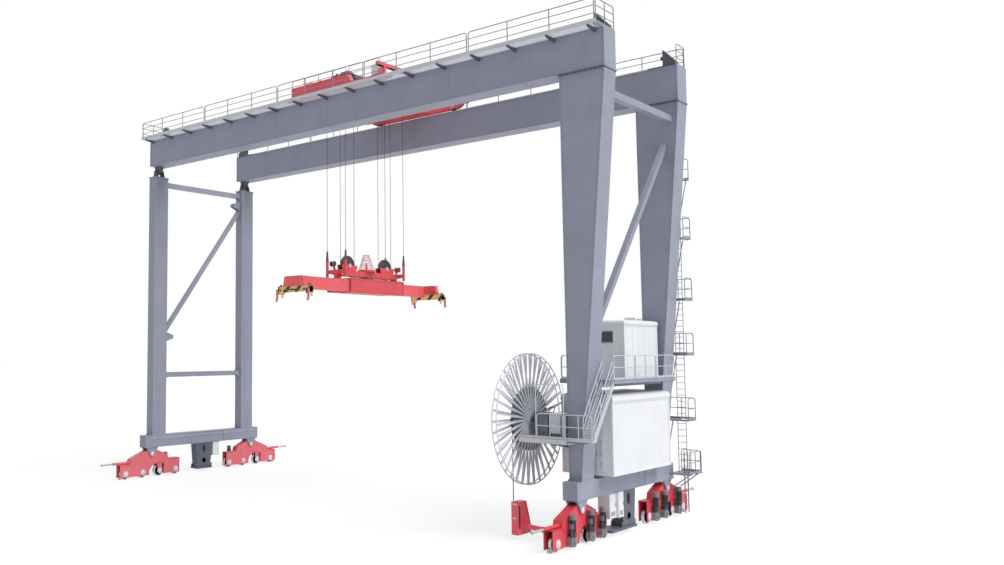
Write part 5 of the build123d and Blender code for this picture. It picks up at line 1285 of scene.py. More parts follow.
@dataclass
class Houses(Assembly):
    """The drive house between the legs and the equipment house on the platform."""

    drive_x: Pair = (14.16, 16.60)
    drive_y: Pair = (-3.06, 3.06)
    drive_z: Pair = (2.92, 6.24)
    control_x: Pair = (14.38, 16.05)
    control_y: Pair = (-0.5, 3.16)
    control_z: Pair = (7.2, 9.78)
    rib_pitch: float = 0.30
    rib_depth: float = 0.007
    foot_y: tuple[float, ...] = (-2.4, 0.0, 2.4)
    foot_x: Pair = (15.3, 15.8)
    batten_pitch: float = 0.63
    roof_lap: float = 0.055
    roof_steps: tuple[Pair, ...] = ((0.0, 0.0), (0.0, 0.35), (0.025, 0.62), (0.09, 0.82), (0.22, 0.95),
                                    (0.45, 1.0))

    def wall_ribs(self, piece: Workpiece, x_span: Pair, y_span: Pair, z_span: Pair, corner: float) -> None:
        """Fold the vertical ribs of the wall panels.

        Args:
            piece: The piece that takes the ribs.
            x_span: The walls' faces across the crane.
            y_span: The walls' faces along the runway.
            z_span: The ribs' lower and upper ends.
            corner: How far the ribs keep from the corners.
        """
        for walls, length, order in ((x_span, y_span, 1), (y_span, x_span, -1)):
            for at in evenly(length[0] + corner, length[1] - corner, self.rib_pitch):
                for wall, out in zip(walls, SIDES):
                    crest = wall + out * self.rib_depth
                    rib = ((wall, at - 0.05), (wall, at + 0.05), (crest, at + 0.025), (crest, at - 0.025))
                    piece.plate(2, z_span[0], [pair[::order] for pair in rib], z_span[1] - z_span[0])

    def shell(self, piece: Workpiece, spans: Sequence[Pair], belts: Pair, height: float, post: float) -> None:
        """Fold the belts at a house's foot and eaves and its corner posts.

        Args:
            piece: The piece that takes them.
            spans: The house's faces along the three axes.
            belts: The undersides of the belts.
            height: The belts' height.
            post: Half the width of a corner post.
        """
        (x0, x1), (y0, y1), (z0, z1) = spans
        for z in belts:
            piece.block((x0 - 0.03, y0 - 0.03, z), (x1 + 0.03, y1 + 0.03, z + height))
        for x in (x0 + 0.03, x1 - 0.03):
            for y in (y0 + 0.03, y1 - 0.03):
                piece.post(x, y, post, post, z0, z1 - 0.02)

    def rounded_roof(self, piece: Workpiece, x_span: Pair, y_span: Pair, low: float, rise: float) -> None:
        """Bend a roof sheet with a round edge over a house.

        Args:
            piece: The piece that takes the sheet.
            x_span: The walls' faces across the crane.
            y_span: The walls' faces along the runway.
            low: The height of the eaves.
            rise: How far the middle lies above the eaves.
        """
        rings: list[Vector] = []
        for inset, share in self.roof_steps:
            (x0, x1), (y0, y1) = ((pair[0] - self.roof_lap + inset, pair[1] + self.roof_lap - inset)
                                  for pair in (x_span, y_span))
            rings += [vec(x, y, low + rise * share) for x, y in ((x0, y0), (x1, y0), (x1, y1), (x0, y1))]
        piece.skin(rings, side_walls(len(self.roof_steps), 4))
        piece.skin(rings[-4:], [range(4)])

    def door(self, piece: Workpiece, x_span: Pair, y: float, z_span: Pair, out: float) -> None:
        """Hang a door with frame, hinges and handle in a wall that faces along the runway.

        Args:
            piece: The piece that takes the door; its second finish is the ironwork's.
            x_span: The door's edges.
            y: The wall's face.
            z_span: The door's sill and head.
            out: The direction in which the wall faces.
        """
        (x0, x1), (z0, z1), face = x_span, z_span, y + out * 0.012
        (back, front), (rear, leaf) = sorted((y, y + out * 0.03)), sorted((y, face))
        for x in x_span:
            piece.block((x - 0.03, back, z0), (x + 0.03, front, z1 + 0.03))
        for z in z_span:
            piece.block((x0 - 0.03, back, z - 0.03), (x1 + 0.03, front, z + 0.03))
        piece.block((x0 + 0.035, rear, z0 + 0.035), (x1 - 0.035, leaf, z1 - 0.035))
        x, grip, (low, high) = x0 + 0.07, face + out * 0.05, ((z0 + z1) / 2 - 0.1, (z0 + z1) / 2 + 0.1)
        piece.pipe([(x, face, low), (x, grip, low), (x, grip, high), (x, face, high)], 0.01, 8, 0.02, 1)
        for z in (z0 + (z1 - z0) * share for share in (0.15, 0.5, 0.85)):
            pin = vec(x1 - 0.02, face + out * 0.02, z)
            piece.pipe([pin - UP * 0.05, pin + UP * 0.05], 0.013, kind=1)

    def louvres(self, piece: Workpiece, centre: Place, width: float, height: float, axis: Vector) -> None:
        """Set a louvred vent in a wall.

        Args:
            piece: The piece that takes the vent; its second finish is the dark sheet behind the slats,
                painted shade.
            centre: The middle of the vent on the wall's face.
            width: The vent's width.
            height: The vent's height.
            axis: The direction in which the wall faces.
        """
        middle, across = Vector(centre), UP.cross(axis).normalized()
        wide, tall = across * width / 2, UP * height / 2
        for lean in SIDES:
            edge, level = middle + wide * lean, middle + tall * lean
            piece.bar(edge - tall, edge + tall, 0.04, 0.06, across)
            piece.bar(level - wide, level + wide, 0.04, 0.06, UP)
        # A dark sheet behind the slats stands for the shade inside the vent: painted shade.
        back = middle + axis * 0.004
        piece.bar(back - tall, back + tall, width, 0.012, across, 1)
        for share in evenly(0.08, 0.92, 0.06 / height):
            slat = middle + UP * (share - 0.5) * height + axis * 0.014
            piece.bar(slat - wide, slat + wide, 0.04, 0.006, UP * 0.7 - axis * 0.7)

    def drive_house(self) -> None:
        """Finish the drive house."""
        dress(WHITE, "drive_house")
        piece = self.start("drive_house_panels", "white_panel", WHITE, CABINET)
        spans = (self.drive_x, self.drive_y, self.drive_z)
        z0, z1 = self.drive_z
        self.wall_ribs(piece, self.drive_x, self.drive_y, (z0 + 0.12, z1 - 0.1), 0.16)
        self.rounded_roof(piece, self.drive_x, self.drive_y, z1 - 0.02, 0.345)
        self.shell(piece, spans, (z0 - 0.004, z1 - 0.1), 0.1, 0.056)
        self.door(piece, (15.74, 16.04), self.drive_y[0] + 0.028, (3.27, 4.44), -1.0)
        self.louvres(piece, (self.drive_x[0] - 0.02, 0.0, 5.4), 0.9, 0.6, -X_AXIS)
        piece.done(bevel=0.006)
        feet = self.start("drive_house_feet", "structure", STEEL, BRIGHT)
        for y in self.foot_y:
            for x in self.foot_x:
                feet.post(x, y, 0.07, 0.13, 2.77, 2.79)
                feet.disc_bolts((x, y, 2.79), UP, 0.09, 4, 0.014, 1)
        feet.done()

    def control_house(self) -> None:
        """Finish the equipment house with its battens, door and roof."""
        dress(WHITE, "control_house")
        piece = self.start("control_house_panels", "white_panel", WHITE, CABINET)
        (x0, x1), (y0, y1), (z0, z1) = self.control_x, self.control_y, self.control_z
        self.rounded_roof(piece, self.control_x, self.control_y, z1 - 0.02, 0.215)
        self.shell(piece, (self.control_x, self.control_y, self.control_z),
                   (z0 + 0.002, z1 - 0.09), 0.09, 0.05)
        for y in evenly(y0 + 0.25, y1 - 0.25, self.batten_pitch):
            for x in (x0 - 0.006, x1 + 0.006):
                piece.bar((x, y, z0 + 0.1), (x, y, z1 - 0.1), 0.03, 0.014, Y_AXIS)
        for x in (14.93, 15.49):
            piece.bar((x, y0 - 0.006, z0 + 0.1), (x, y0 - 0.006, z1 - 0.1), 0.03, 0.014)
        self.door(piece, (15.0, 15.7), y1 - 0.002, (7.3, 9.3), 1.0)
        self.louvres(piece, (x0 - 0.02, 1.2, 8.9), 0.7, 0.5, -X_AXIS)
        piece.done(bevel=0.005)

    def openings(self) -> None:
        """Glaze the equipment house's window and set the vent on its roof."""
        window = self.start("control_house_window", "cabinet_grey", GLASS, CABINET, WHITE)
        wall = self.control_y[0]
        window.block((14.92, wall - 0.022, 8.92), (15.48, wall - 0.004, 9.38))
        for x in (14.9, 15.48):
            window.block((x, wall - 0.035, 8.88), (x + 0.022, wall - 0.002, 9.42), 1)
        for z in (8.88, 9.40):
            window.block((14.9, wall - 0.035, z), (15.5, wall - 0.002, z + 0.022), 1)
        window.block((14.86, wall - 0.09, 9.44), (15.54, wall - 0.002, 9.47), 2)
        window.done(bevel=0.003)
        vent = self.start("roof_vent", "white_panel", WHITE, CABINET)
        x, y = sum(self.control_x) / 2, self.control_y[1] - 0.8
        vent.post(x, y, 0.285, 0.41, 9.86, 10.10)
        for lean in SIDES:
            self.louvres(vent, (x + lean * 0.285, y, 10.0), 0.6, 0.14, X_AXIS * lean)
        vent.done(bevel=0.01)

    def build(self) -> None:
        """Build both houses."""
        self.drive_house()
        self.control_house()
        self.openings()


@dataclass
class AccessTower(Assembly):
    """The stack of landings and ladders up the far side of the far right leg."""

    levels: tuple[float, ...] = (17.35, 14.25, 11.1, 8.3, 5.0, 2.3)
    x_span: Pair = (15.5, 16.95)
    leg_y: float = 4.55
    outer_y: float = 5.56
    base_far_y: float = 6.1
    base_inner_x: float = 15.8975
    strut_drop: float = 2.1
    ladder_x: float = 16.5
    ladder_y: float = 5.0
    ladder_width: float = 0.42
    ground_ladder: Pair = (0.32, 3.06)
    rung_pitch: float = 0.3
    base_strut_y: Pair = (4.7, 5.9)
    frame_depth: float = 0.06
    slat_pitch: float = 0.06
    cross_pitch: float = 0.2
    pipe_radius: float = 0.021
    toe_board: float = 0.1
    leg_foot: Pair = (15.84, 2.77)
    leg_head_x: float = 17.35
    leg_rise: float = 18.32

    def leg_face_x(self, z: float) -> float:
        """Return the outer face of the tapered leg at a height."""
        foot_x, foot_z = self.leg_foot
        return foot_x + (self.leg_head_x - foot_x) * (z - foot_z) / self.leg_rise

    def rail(self, piece: Workpiece, start: Place, end: Place, pitch: float) -> None:
        """Add one guard rail panel of the tower."""
        piece.guard_rail(start, end, pitch=pitch, radius=self.pipe_radius, toe=self.toe_board)

    def grate(self, piece: Workpiece, x_span: Pair, y_span: Pair, top: float) -> None:
        """Lay one landing of open grating in an angle frame.

        Args:
            piece: The piece that takes the landing.
            x_span: The landing's edges across the crane.
            y_span: The landing's edges along the runway.
            top: The height of its walking face.
        """
        (x0, x1), (y0, y1), low = x_span, y_span, top - self.frame_depth
        for x in (x0, x1 - 0.01):
            piece.block((x, y0, low), (x + 0.01, y1, top))
        for y in (y0, y1 - 0.01):
            piece.block((x0, y, low), (x1, y + 0.01, top))
        for x in evenly(x0, x1, self.slat_pitch)[1:-1]:
            piece.block((x - 0.004, y0, top - 0.032), (x + 0.004, y1, top - 0.002), 1)
        for y in evenly(y0, y1, self.cross_pitch)[1:-1]:
            piece.block((x0, y - 0.005, top - 0.03), (x1, y + 0.005, top - 0.003), 1)

    def climb(self, piece: Workpiece, start: Vector, rise: float, side: Vector) -> None:
        """Build one ladder of two stiles and round rungs.

        Args:
            piece: The piece that takes the ladder.
            start: The foot of its first stile.
            rise: The ladder's height.
            side: The offset of the second stile.
        """
        for foot in (start, start + side):
            piece.bar(foot, foot + UP * rise, 0.055, 0.016, side.cross(UP))
        for rung in (start + UP * step for step in evenly(0.3, rise - 0.15, self.rung_pitch)):
            piece.pipe([rung, rung + side], 0.013)

    def landing(self, piece: Workpiece, level: float, below: float) -> None:
        """Build one landing with its rails, its struts and the ladder that leads up to it.

        Args:
            piece: The piece that takes the landing.
            level: The landing's height.
            below: The height from which the ladder starts.
        """
        (x0, x1), leg_y, edge = self.x_span, self.leg_y, self.outer_y - 0.0225
        stile = x1 - 0.3 - self.ladder_width
        hatch = (stile - 0.04, x1 - 0.26)
        for x_span, far in (((x0, hatch[0]), self.outer_y), ((hatch[1], x1), self.outer_y),
                            (hatch, self.ladder_y - 0.02)):
            self.grate(piece, x_span, (leg_y, far), level)
        self.rail(piece, (x0 + 0.03, edge, level), (x1 - 0.03, edge, level), 0.8)
        for x in (x0 + 0.022, x1 - 0.022):
            if x >= self.leg_face_x(level):
                self.rail(piece, (x, leg_y + 0.08, level), (x, edge - 0.03, level), 0.6)
        foot_z = level - self.strut_drop
        for x in (min(x1 - 0.06, self.leg_face_x(foot_z) - 0.06), x0 + 0.1):
            head = (x, self.outer_y - 0.06, level - self.frame_depth)
            piece.pipe([head, (x, leg_y + 0.01, foot_z)], 0.028, 10)
            piece.block((x - 0.06, leg_y, foot_z - 0.12), (x + 0.06, leg_y + 0.012, foot_z + 0.12))
        self.climb(piece, vec(stile, self.ladder_y, below), level - below - 0.062, X_AXIS * self.ladder_width)
        if level == self.levels[0]:
            for x in (stile, stile + self.ladder_width):
                foot, back, head = vec(x, self.ladder_y, level), Y_AXIS * 0.25, UP * 1.05
                piece.pipe([foot - UP * 0.1, foot + head, foot + head + back, foot + back], 0.018, 8, 0.12)

    def base(self, piece: Workpiece) -> None:
        """Build the lowest landing round the ladder's well, with the ladder to the ground.

        Args:
            piece: The piece that takes the landing.
        """
        inner, outer, far = self.base_inner_x, self.x_span[1], self.base_far_y
        leg_y, level = self.leg_y, self.levels[-1]
        well_x = self.ladder_x - 0.03
        well_y = (self.ladder_y - 0.04, self.ladder_y + self.ladder_width + 0.04)
        for x_span, y_span in (((inner, well_x), (leg_y, far)), ((well_x, outer), (leg_y, well_y[0])),
                               ((well_x, outer), (well_y[1], far))):
            self.grate(piece, x_span, y_span, level)
        x, y = outer - 0.0225, far - 0.0225
        self.rail(piece, (x, leg_y + 0.03, level), (x, far - 0.03, level), 0.75)
        self.rail(piece, (inner + 0.03, y, level), (x - 0.04, y, level), 0.6)
        for y in self.base_strut_y:
            head = (outer - 0.1, y, level - self.frame_depth)
            piece.pipe([head, (inner + 0.005, y, level - 0.8)], 0.028, 10)
        foot, length = self.ground_ladder
        self.climb(piece, vec(self.ladder_x, self.ladder_y, foot), length, Y_AXIS * self.ladder_width)

    def build(self) -> None:
        """Build the landings, rails, ladders and struts."""
        piece = self.start("tower_landings", "galvanised", RAIL, ZINC)
        for level, below in zip(self.levels, self.levels[1:]):
            self.landing(piece, level, below)
        self.base(piece)
        piece.done(["access_tower"])


@dataclass
class Trolley(Assembly):
    """The trolley: wheels, grooved rope drums, gearboxes, motors, cabinet and guard rails."""

    track_y: float = 3.7
    wheel_z: float = 23.2703
    wheel_x: Pair = (-2.1, 3.65)
    drum_offset: float = 1.15
    drum_z: float = 24.15
    drum_radius: float = 0.42
    drum_half: float = 2.8
    groove_pitch: float = 0.08
    base_z: float = 23.67
    gearbox_y: float = 3.09
    gearbox_height: float = 0.86
    rib_rows: tuple[Pair, ...] = ((-2.55, 24.05), (-1.65, 24.05), (-0.9, 24.05), (-0.1, 24.05), (0.7, 24.05),
                                  (1.4, 24.05), (2.2, 23.6), (2.9, 23.6))
    pipe_radius: float = 0.02

    def wheels(self) -> None:
        """Turn the four double flanged track wheels."""
        piece = self.start("trolley_track_wheels", "wheel_steel", IRON, BRIGHT)
        tread = mirrored([(0.05, -0.083), (0.09, -0.06), (0.20, -0.045), (0.25, -0.055)])
        for hub in (vec(x, side * self.track_y, self.wheel_z) for side in SIDES for x in self.wheel_x):
            piece.turned(hub, Y_AXIS, tread, 40)
            for out in (-Y_AXIS, Y_AXIS):
                cap = hub + out * 0.18
                piece.turned(cap, out, [(0.13, -0.005), (0.13, 0.015), (0.08, 0.03), (0.0, 0.032)], 28, 1)
                piece.disc_bolts(cap + out * 0.015, out, 0.105, 8, 0.011, 1)
        piece.done(["trolley_wheels"])

    def machinery(self) -> None:
        """Cut the grooved drums, stand them on bearing frames and fit their drives."""
        piece = self.start("rope_drums", "motor_grey", IRON, MOTOR, BRIGHT, RED)
        half, radius, pitch = self.drum_half, self.drum_radius, self.groove_pitch
        z, low = self.drum_z, self.base_z
        flange = [(0.10, -half + 0.002), (radius, -half + 0.002), (radius, -half + 0.03),
                  (0.385, -half + 0.04)]
        grooves = [pair for y in evenly(-half + 0.06, half - 0.06, pitch)[:-1]
                   for pair in ((0.392, y), (0.38, y + pitch * 0.5))]
        for x in (TROLLEY_X - self.drum_offset, TROLLEY_X + self.drum_offset):
            piece.turned((x, 0.0, z), Y_AXIS, [*flange, *grooves, *mirrored(flange)[len(flange):]], 36)
            cheek = [(x - 0.26, low - 0.04), (x + 0.26, low - 0.04), (x + 0.16, z + 0.12),
                     (x + 0.09, z + 0.19), (x - 0.09, z + 0.19), (x - 0.16, z + 0.12)]
            for side in SIDES:
                y = side * (half + 0.06)
                piece.plate(1, y - 0.05, cheek, 0.1, 3)
                piece.turned((x, y + side * 0.05, z), Y_AXIS * side,
                             [(0.13, -0.001), (0.13, 0.008), (0.06, 0.009)], 24, 2)
        piece.post(TROLLEY_X, 0.0, 0.11, 2.65, z, z + 0.22, 3)
        for y in evenly(-2.5, 2.5, 0.5):
            piece.post(TROLLEY_X, y, 0.125, 0.01, z - 0.02, z + 0.235, 3)
        for side in SIDES:
            piece.post(TROLLEY_X, side * 0.9, 0.09, 0.09, 23.6, z, 3)
            for y in (side * 1.149, side * 2.335):
                for x in (TROLLEY_X - 0.06, TROLLEY_X + 0.06):
                    piece.post(x, y, 0.01, 0.09, z - 0.12, z, 3)
        for offset in SIDES:
            self.drum_drive(piece, offset)
        piece.done(["trolley_machinery"], 0.004)

    def drum_drive(self, piece: Workpiece, offset: int) -> None:
        """Build one drum's gearbox and motor.

        Args:
            piece: The piece that takes them.
            offset: -1 for the drum nearer to the slender legs, 1 for the other.
        """
        x, y, low = TROLLEY_X + offset * self.drum_offset, -offset * self.gearbox_y, self.base_z
        high, out, axis = low + self.gearbox_height, Y_AXIS * -offset, X_AXIS * -offset
        shell = [(x - 0.38, low + 0.03), (x - 0.34, low), (x + 0.34, low), (x + 0.38, low + 0.03),
                 (x + 0.38, high - 0.12), (x + 0.28, high), (x - 0.28, high), (x - 0.38, high - 0.12)]
        piece.plate(1, y - 0.155, shell, 0.31, 1)
        for z in (low + 0.015, low + 0.43):
            piece.post(x, y, 0.41, 0.17, z, z + 0.03, 1)
        for shaft in (-0.18, 0.18):
            piece.turned(vec(x + shaft, y, low + 0.45) + out * 0.155, out,
                         [(0.12, 0.0), (0.12, 0.015), (0.07, 0.02), (0.0, 0.02)], 24, 2)
        motor = vec(x, y, high - 0.24) + axis * 0.38
        piece.turned(motor, axis,
                     [(0.19, 0.0), (0.19, 0.03), (0.12, 0.04), (0.12, 0.09), (0.185, 0.1), (0.185, 0.12)],
                     28, 2)
        piece.finned(motor + axis * 0.12, axis * 0.40, (Y_AXIS, UP), 30,
                     ((0.0, 0.197), (0.4, 0.197), (0.47, 0.17), (0.93, 0.17)), 1)
        piece.turned(motor + axis * 0.52, axis,
                     [(0.18, 0.0), (0.2, 0.01), (0.2, 0.13), (0.17, 0.17), (0.0, 0.178)], 28, 1)
        box = motor + axis * 0.30
        piece.post(box.x, box.y, 0.08, 0.08, box.z + 0.16, box.z + 0.26, 1)

    def bodywork(self) -> None:
        """Dress the frame and fit its deck plates, ribs, buffers and bolts."""
        # The trolley frame and its ironwork take the brighter red: painted light that lifts their shaded
        # faces.
        dress(BRIGHT_RED_WITH_PAINTED_LIGHT, "trolley_frame")
        piece = self.start("trolley_ironwork", "red_steel", BRIGHT_RED_WITH_PAINTED_LIGHT, RUBBER, BRIGHT, LIGHTER_RED_PAINTED_LIGHT)
        for side in SIDES:
            y = side * self.track_y
            for face in (y - 0.181, y + 0.181):
                for x, head in self.rib_rows:
                    piece.bar((x, face, 23.2), (x, face, head), 0.02, 0.03)
                piece.bar((-2.72, face, 24.09), (1.64, face, 24.09), 0.03, 0.02, Y_AXIS)
            for x, out in ((-2.75, -X_AXIS), (4.3, X_AXIS)):
                foot = vec(x, y, 23.42)
                piece.turned(foot, out, [(0.13, -0.01), (0.13, 0.015), (0.107, 0.02), (0.107, 0.30)], 24)
                piece.turned(foot, out, [(0.107, 0.30), (0.107, 0.43), (0.095, 0.449), (0.0, 0.4495)], 24, 1)
                piece.disc_bolts(foot + out * 0.012, out, 0.118, 6, 0.009, 2)
            inner, outer = span(side, (2.9, 3.52))
            for x in evenly(-2.40, 1.92, 0.12):
                piece.block((x - 0.02, inner, self.base_z), (x + 0.02, outer, self.base_z + 0.006))
        for z in (24.19, 24.0):
            piece.block((4.088, -4.3, z), (4.30, 4.3, z + 0.012), 3)
        for y in evenly(-4.2, 4.2, 0.7):
            piece.bar((4.09, y, 24.0), (4.09, y, 24.2), 0.012, 0.02, Y_AXIS, 3)
        piece.done(bevel=0.004)

    def rails(self) -> None:
        """Bend the trolley's own guard rails and build its cabinets."""
        # The trolley's rails take the lighter copy of the red: painted light.
        piece = self.start("trolley_guard_rails", "red_steel", LIGHTER_RED_PAINTED_LIGHT)
        for side in SIDES:
            outer, inner = side * (self.track_y + 0.16), side * 2.94
            for start, end, y, foot, height, rails in ((-2.70, 1.60, outer, 24.10, 0.44, 1),
                                                       (1.80, 4.05, outer, 23.64, 0.9, 2),
                                                       (-2.42, -1.85, inner, self.base_z, 0.88, 2)):
                piece.guard_rail((start, y, foot), (end, y, foot), height, rails, 1.1, self.pipe_radius)
        piece.done()
        cabinet = self.start("trolley_cabinet", "white_panel", WHITE, CABINET)
        for y in (-self.track_y, self.track_y):
            cabinet.blocks([(3.45, y - 0.17, 23.66, 3.92, y + 0.12, 24.16, 0),
                            (3.43, y - 0.19, 24.16, 3.94, y + 0.14, 24.19, 0),
                            (3.48, y - 0.182, 23.70, 3.89, y - 0.168, 24.12, 0),
                            (3.51, y - 0.195, 23.85, 3.53, y - 0.182, 24.0, 1),
                            (3.47, y - 0.15, 23.625, 3.90, y + 0.10, 23.665, 1)])
        cabinet.done(bevel=0.006)

    def build(self) -> None:
        """Build the trolley's pieces."""
        self.bodywork()
        self.wheels()
        self.machinery()
        self.rails()


@dataclass
class Hoist(Assembly):
    """The hoist ropes and the headblock with its sheaves, sockets and cable basket."""

    upper_body: str = "trolley"
    middle_x: float = TROLLEY_X
    rope_radius: float = 0.014
    rope_top: float = 24.15
    corner_x: float = 0.716
    corner_y: float = 2.7
    socket_top: float = 14.28
    block_z: float = 13.44
    cheek_x: float = 0.19
    cheek_radius: float = 0.645
    sheave_y: float = 1.735
    sheave_radius: float = 0.6
    sheave_spokes: int = 8
    basket_posts: int = 20
    basket_radius: float = 0.53
    basket_floor: float = 13.15
    basket_taper: float = 0.34
    basket_height: float = 1.04

    @property
    def corners(self) -> list[Pair]:
        """Return the plan places of the corner ropes."""
        return [(self.middle_x + out * self.corner_x, side * self.corner_y)
                for out in SIDES for side in SIDES]

    @property
    def hubs(self) -> list[Vector]:
        """Return the middles of both sheaves."""
        return [vec(self.middle_x, side * self.sheave_y, self.block_z) for side in SIDES]

    def ropes(self) -> None:
        """Lay the eight ropes between trolley and headblock."""
        piece = self.start("hoist_wire_ropes", "rope_steel", ROPE)
        reach = self.sheave_radius + self.rope_radius
        falls = [(hub.x, hub.y + hub.y / abs(hub.y) * turn * reach) for hub in self.hubs for turn in SIDES]
        for places, low in ((self.corners, self.socket_top), (falls, self.block_z)):
            for x, y in places:
                piece.pipe([(x, y, self.rope_top), (x, y, low)], self.rope_radius)
        mesh = piece.done(["hoist_ropes"])
        mesh.parent = None
        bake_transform(mesh)

    def sheaves(self) -> None:
        """Turn the grooved sheaves with their webs and spokes."""
        piece = self.start("grooved_sheaves", "wheel_steel", IRON, BRIGHT)
        radius = self.sheave_radius
        profile = mirrored([(0.072, -0.054), (0.15, -0.054), (0.16, -0.02), (0.44, -0.016), (0.5, -0.05),
                            (radius, -0.052), (radius - 0.004, -0.03), (radius - 0.05, -0.006)])
        for hub in self.hubs:
            piece.turned(hub, X_AXIS, profile, 56)
            for spoke in range(self.sheave_spokes):
                ray = wheel_ray(math.tau * spoke / self.sheave_spokes)
                piece.bar(hub + ray * 0.14, hub + ray * 0.47, 0.07, 0.02)
        piece.done(["headblock_sheaves"])

    def cheek_work(self, piece: Workpiece, hub: Vector) -> None:
        """Fit the rims, pin caps and bolts of one pair of cheeks.

        Args:
            piece: The headblock's ironwork.
            hub: The middle of the sheave between the cheeks.
        """
        for out in (-X_AXIS, X_AXIS):
            face = hub + out * self.cheek_x
            rim = [face + wheel_ray(math.pi * (1 + step / 16)) * self.cheek_radius for step in range(17)]
            for start, end in zip(rim, rim[1:]):
                if min(start.z, end.z) > 13.13:
                    piece.bar(start, end, 0.03, 0.03)
            piece.turned(hub + out * 0.21, out,
                         [(0.12, -0.02), (0.12, 0.01), (0.082, 0.02), (0.0, 0.024)], 24, 2)
            piece.disc_bolts(face, out, 0.16, 8, 0.014, 2)
            piece.bar(face + vec(0.0, -0.66, 0.035), face + vec(0.0, 0.66, 0.035), 0.03, 0.03)

    def frame_work(self) -> None:
        """Dress the headblock and fit its cheek rims, pins, sockets and bolts."""
        dress(RED, "headblock")
        piece = self.start("headblock_ironwork", "red_steel", RED, DARK_STEEL, BRIGHT, IRON)
        middle = self.middle_x
        for side, hub in zip(SIDES, self.hubs):
            self.cheek_work(piece, hub)
            for y in (side * 2.45, side * 2.75):
                piece.post(middle, y, 0.125, 0.01, 12.70, 12.92)
            for face in SIDES:
                piece.turned((middle + face * 0.311, side * 2.55, 12.99), X_AXIS * face,
                             [(0.09, 0.0), (0.09, 0.015), (0.05, 0.02), (0.0, 0.02)], 20, 2)
                piece.turned((middle + face * 0.1, side * 3.0, 13.48), X_AXIS * face,
                             [(0.0, 0.0), (0.16, 0.0), (0.16, 0.03), (0.05, 0.05), (0.0, 0.05)], 24, 3)
            piece.bar((middle, side * 2.82, 13.1), (middle, side * 3.0, 13.52), 0.18, 0.03)
        for y in evenly(-1.0, 1.0, 0.5) + [-2.3, 2.3]:
            for x in (middle - 0.31, middle + 0.31):
                piece.bar((x, y, 12.86), (x, y, 13.13), 0.014, 0.025, Y_AXIS)
        for x, y in self.corners:
            piece.turned((x, y, 12.74), UP,
                         [(0.0, 0.0), (0.085, 0.0), (0.085, 0.9), (0.10, 0.905), (0.10, 0.958),
                          (0.083, 0.962)], 24)
            piece.turned((x, y, 13.702), UP,
                         [(0.083, 0.0), (0.083, 0.03), (0.045, 0.575), (0.03, 0.585)], 24, 1)
            piece.bolt((x, y, 12.72), UP, 0.06, 0.02, 2)
        piece.done(bevel=0.004)

    def basket(self) -> None:
        """Weave the wire cage of the cable basket."""
        piece = self.start("cable_basket_cage", "red_steel", BASKET_WIRE, RED)
        foot = vec(self.middle_x, 0.0, self.basket_floor)
        radius, taper = self.basket_radius, self.basket_taper
        piece.turned(foot, UP, [(0.0, 0.004), (radius, 0.004), (radius, 0.115), (radius - 0.03, 0.12),
                                (radius - 0.03, 0.02), (0.0, 0.02)], 40, 1)
        for level in evenly(0.14, self.basket_height, 0.15):
            centre = foot + UP * level
            ring = [centre + plan_ray(math.tau * step / 32) * (radius - taper * level) for step in range(33)]
            piece.pipe(ring, 0.016 if round(level * 20) % 6 == 3 else 0.009, 6)
        rise = self.basket_height - 0.1
        for post in range(self.basket_posts):
            ray = plan_ray(math.tau * post / self.basket_posts)
            start = foot + UP * 0.1 + ray * (radius - taper * 0.1)
            piece.pipe([start, start + UP * rise - ray * taper * rise], 0.013 if post % 5 == 0 else 0.007, 6)
        piece.turned(foot, UP,
                     [(0.0, 0.02), (0.12, 0.02), (0.075, 0.14), (0.055, 0.52), (0.03, 0.56), (0.0, 0.565)],
                     16, 1)
        piece.done(["cable_basket"])

    def build(self) -> None:
        """Build the ropes and the headblock's pieces."""
        self.frame_work()
        self.sheaves()
        self.basket()
        self.ropes()


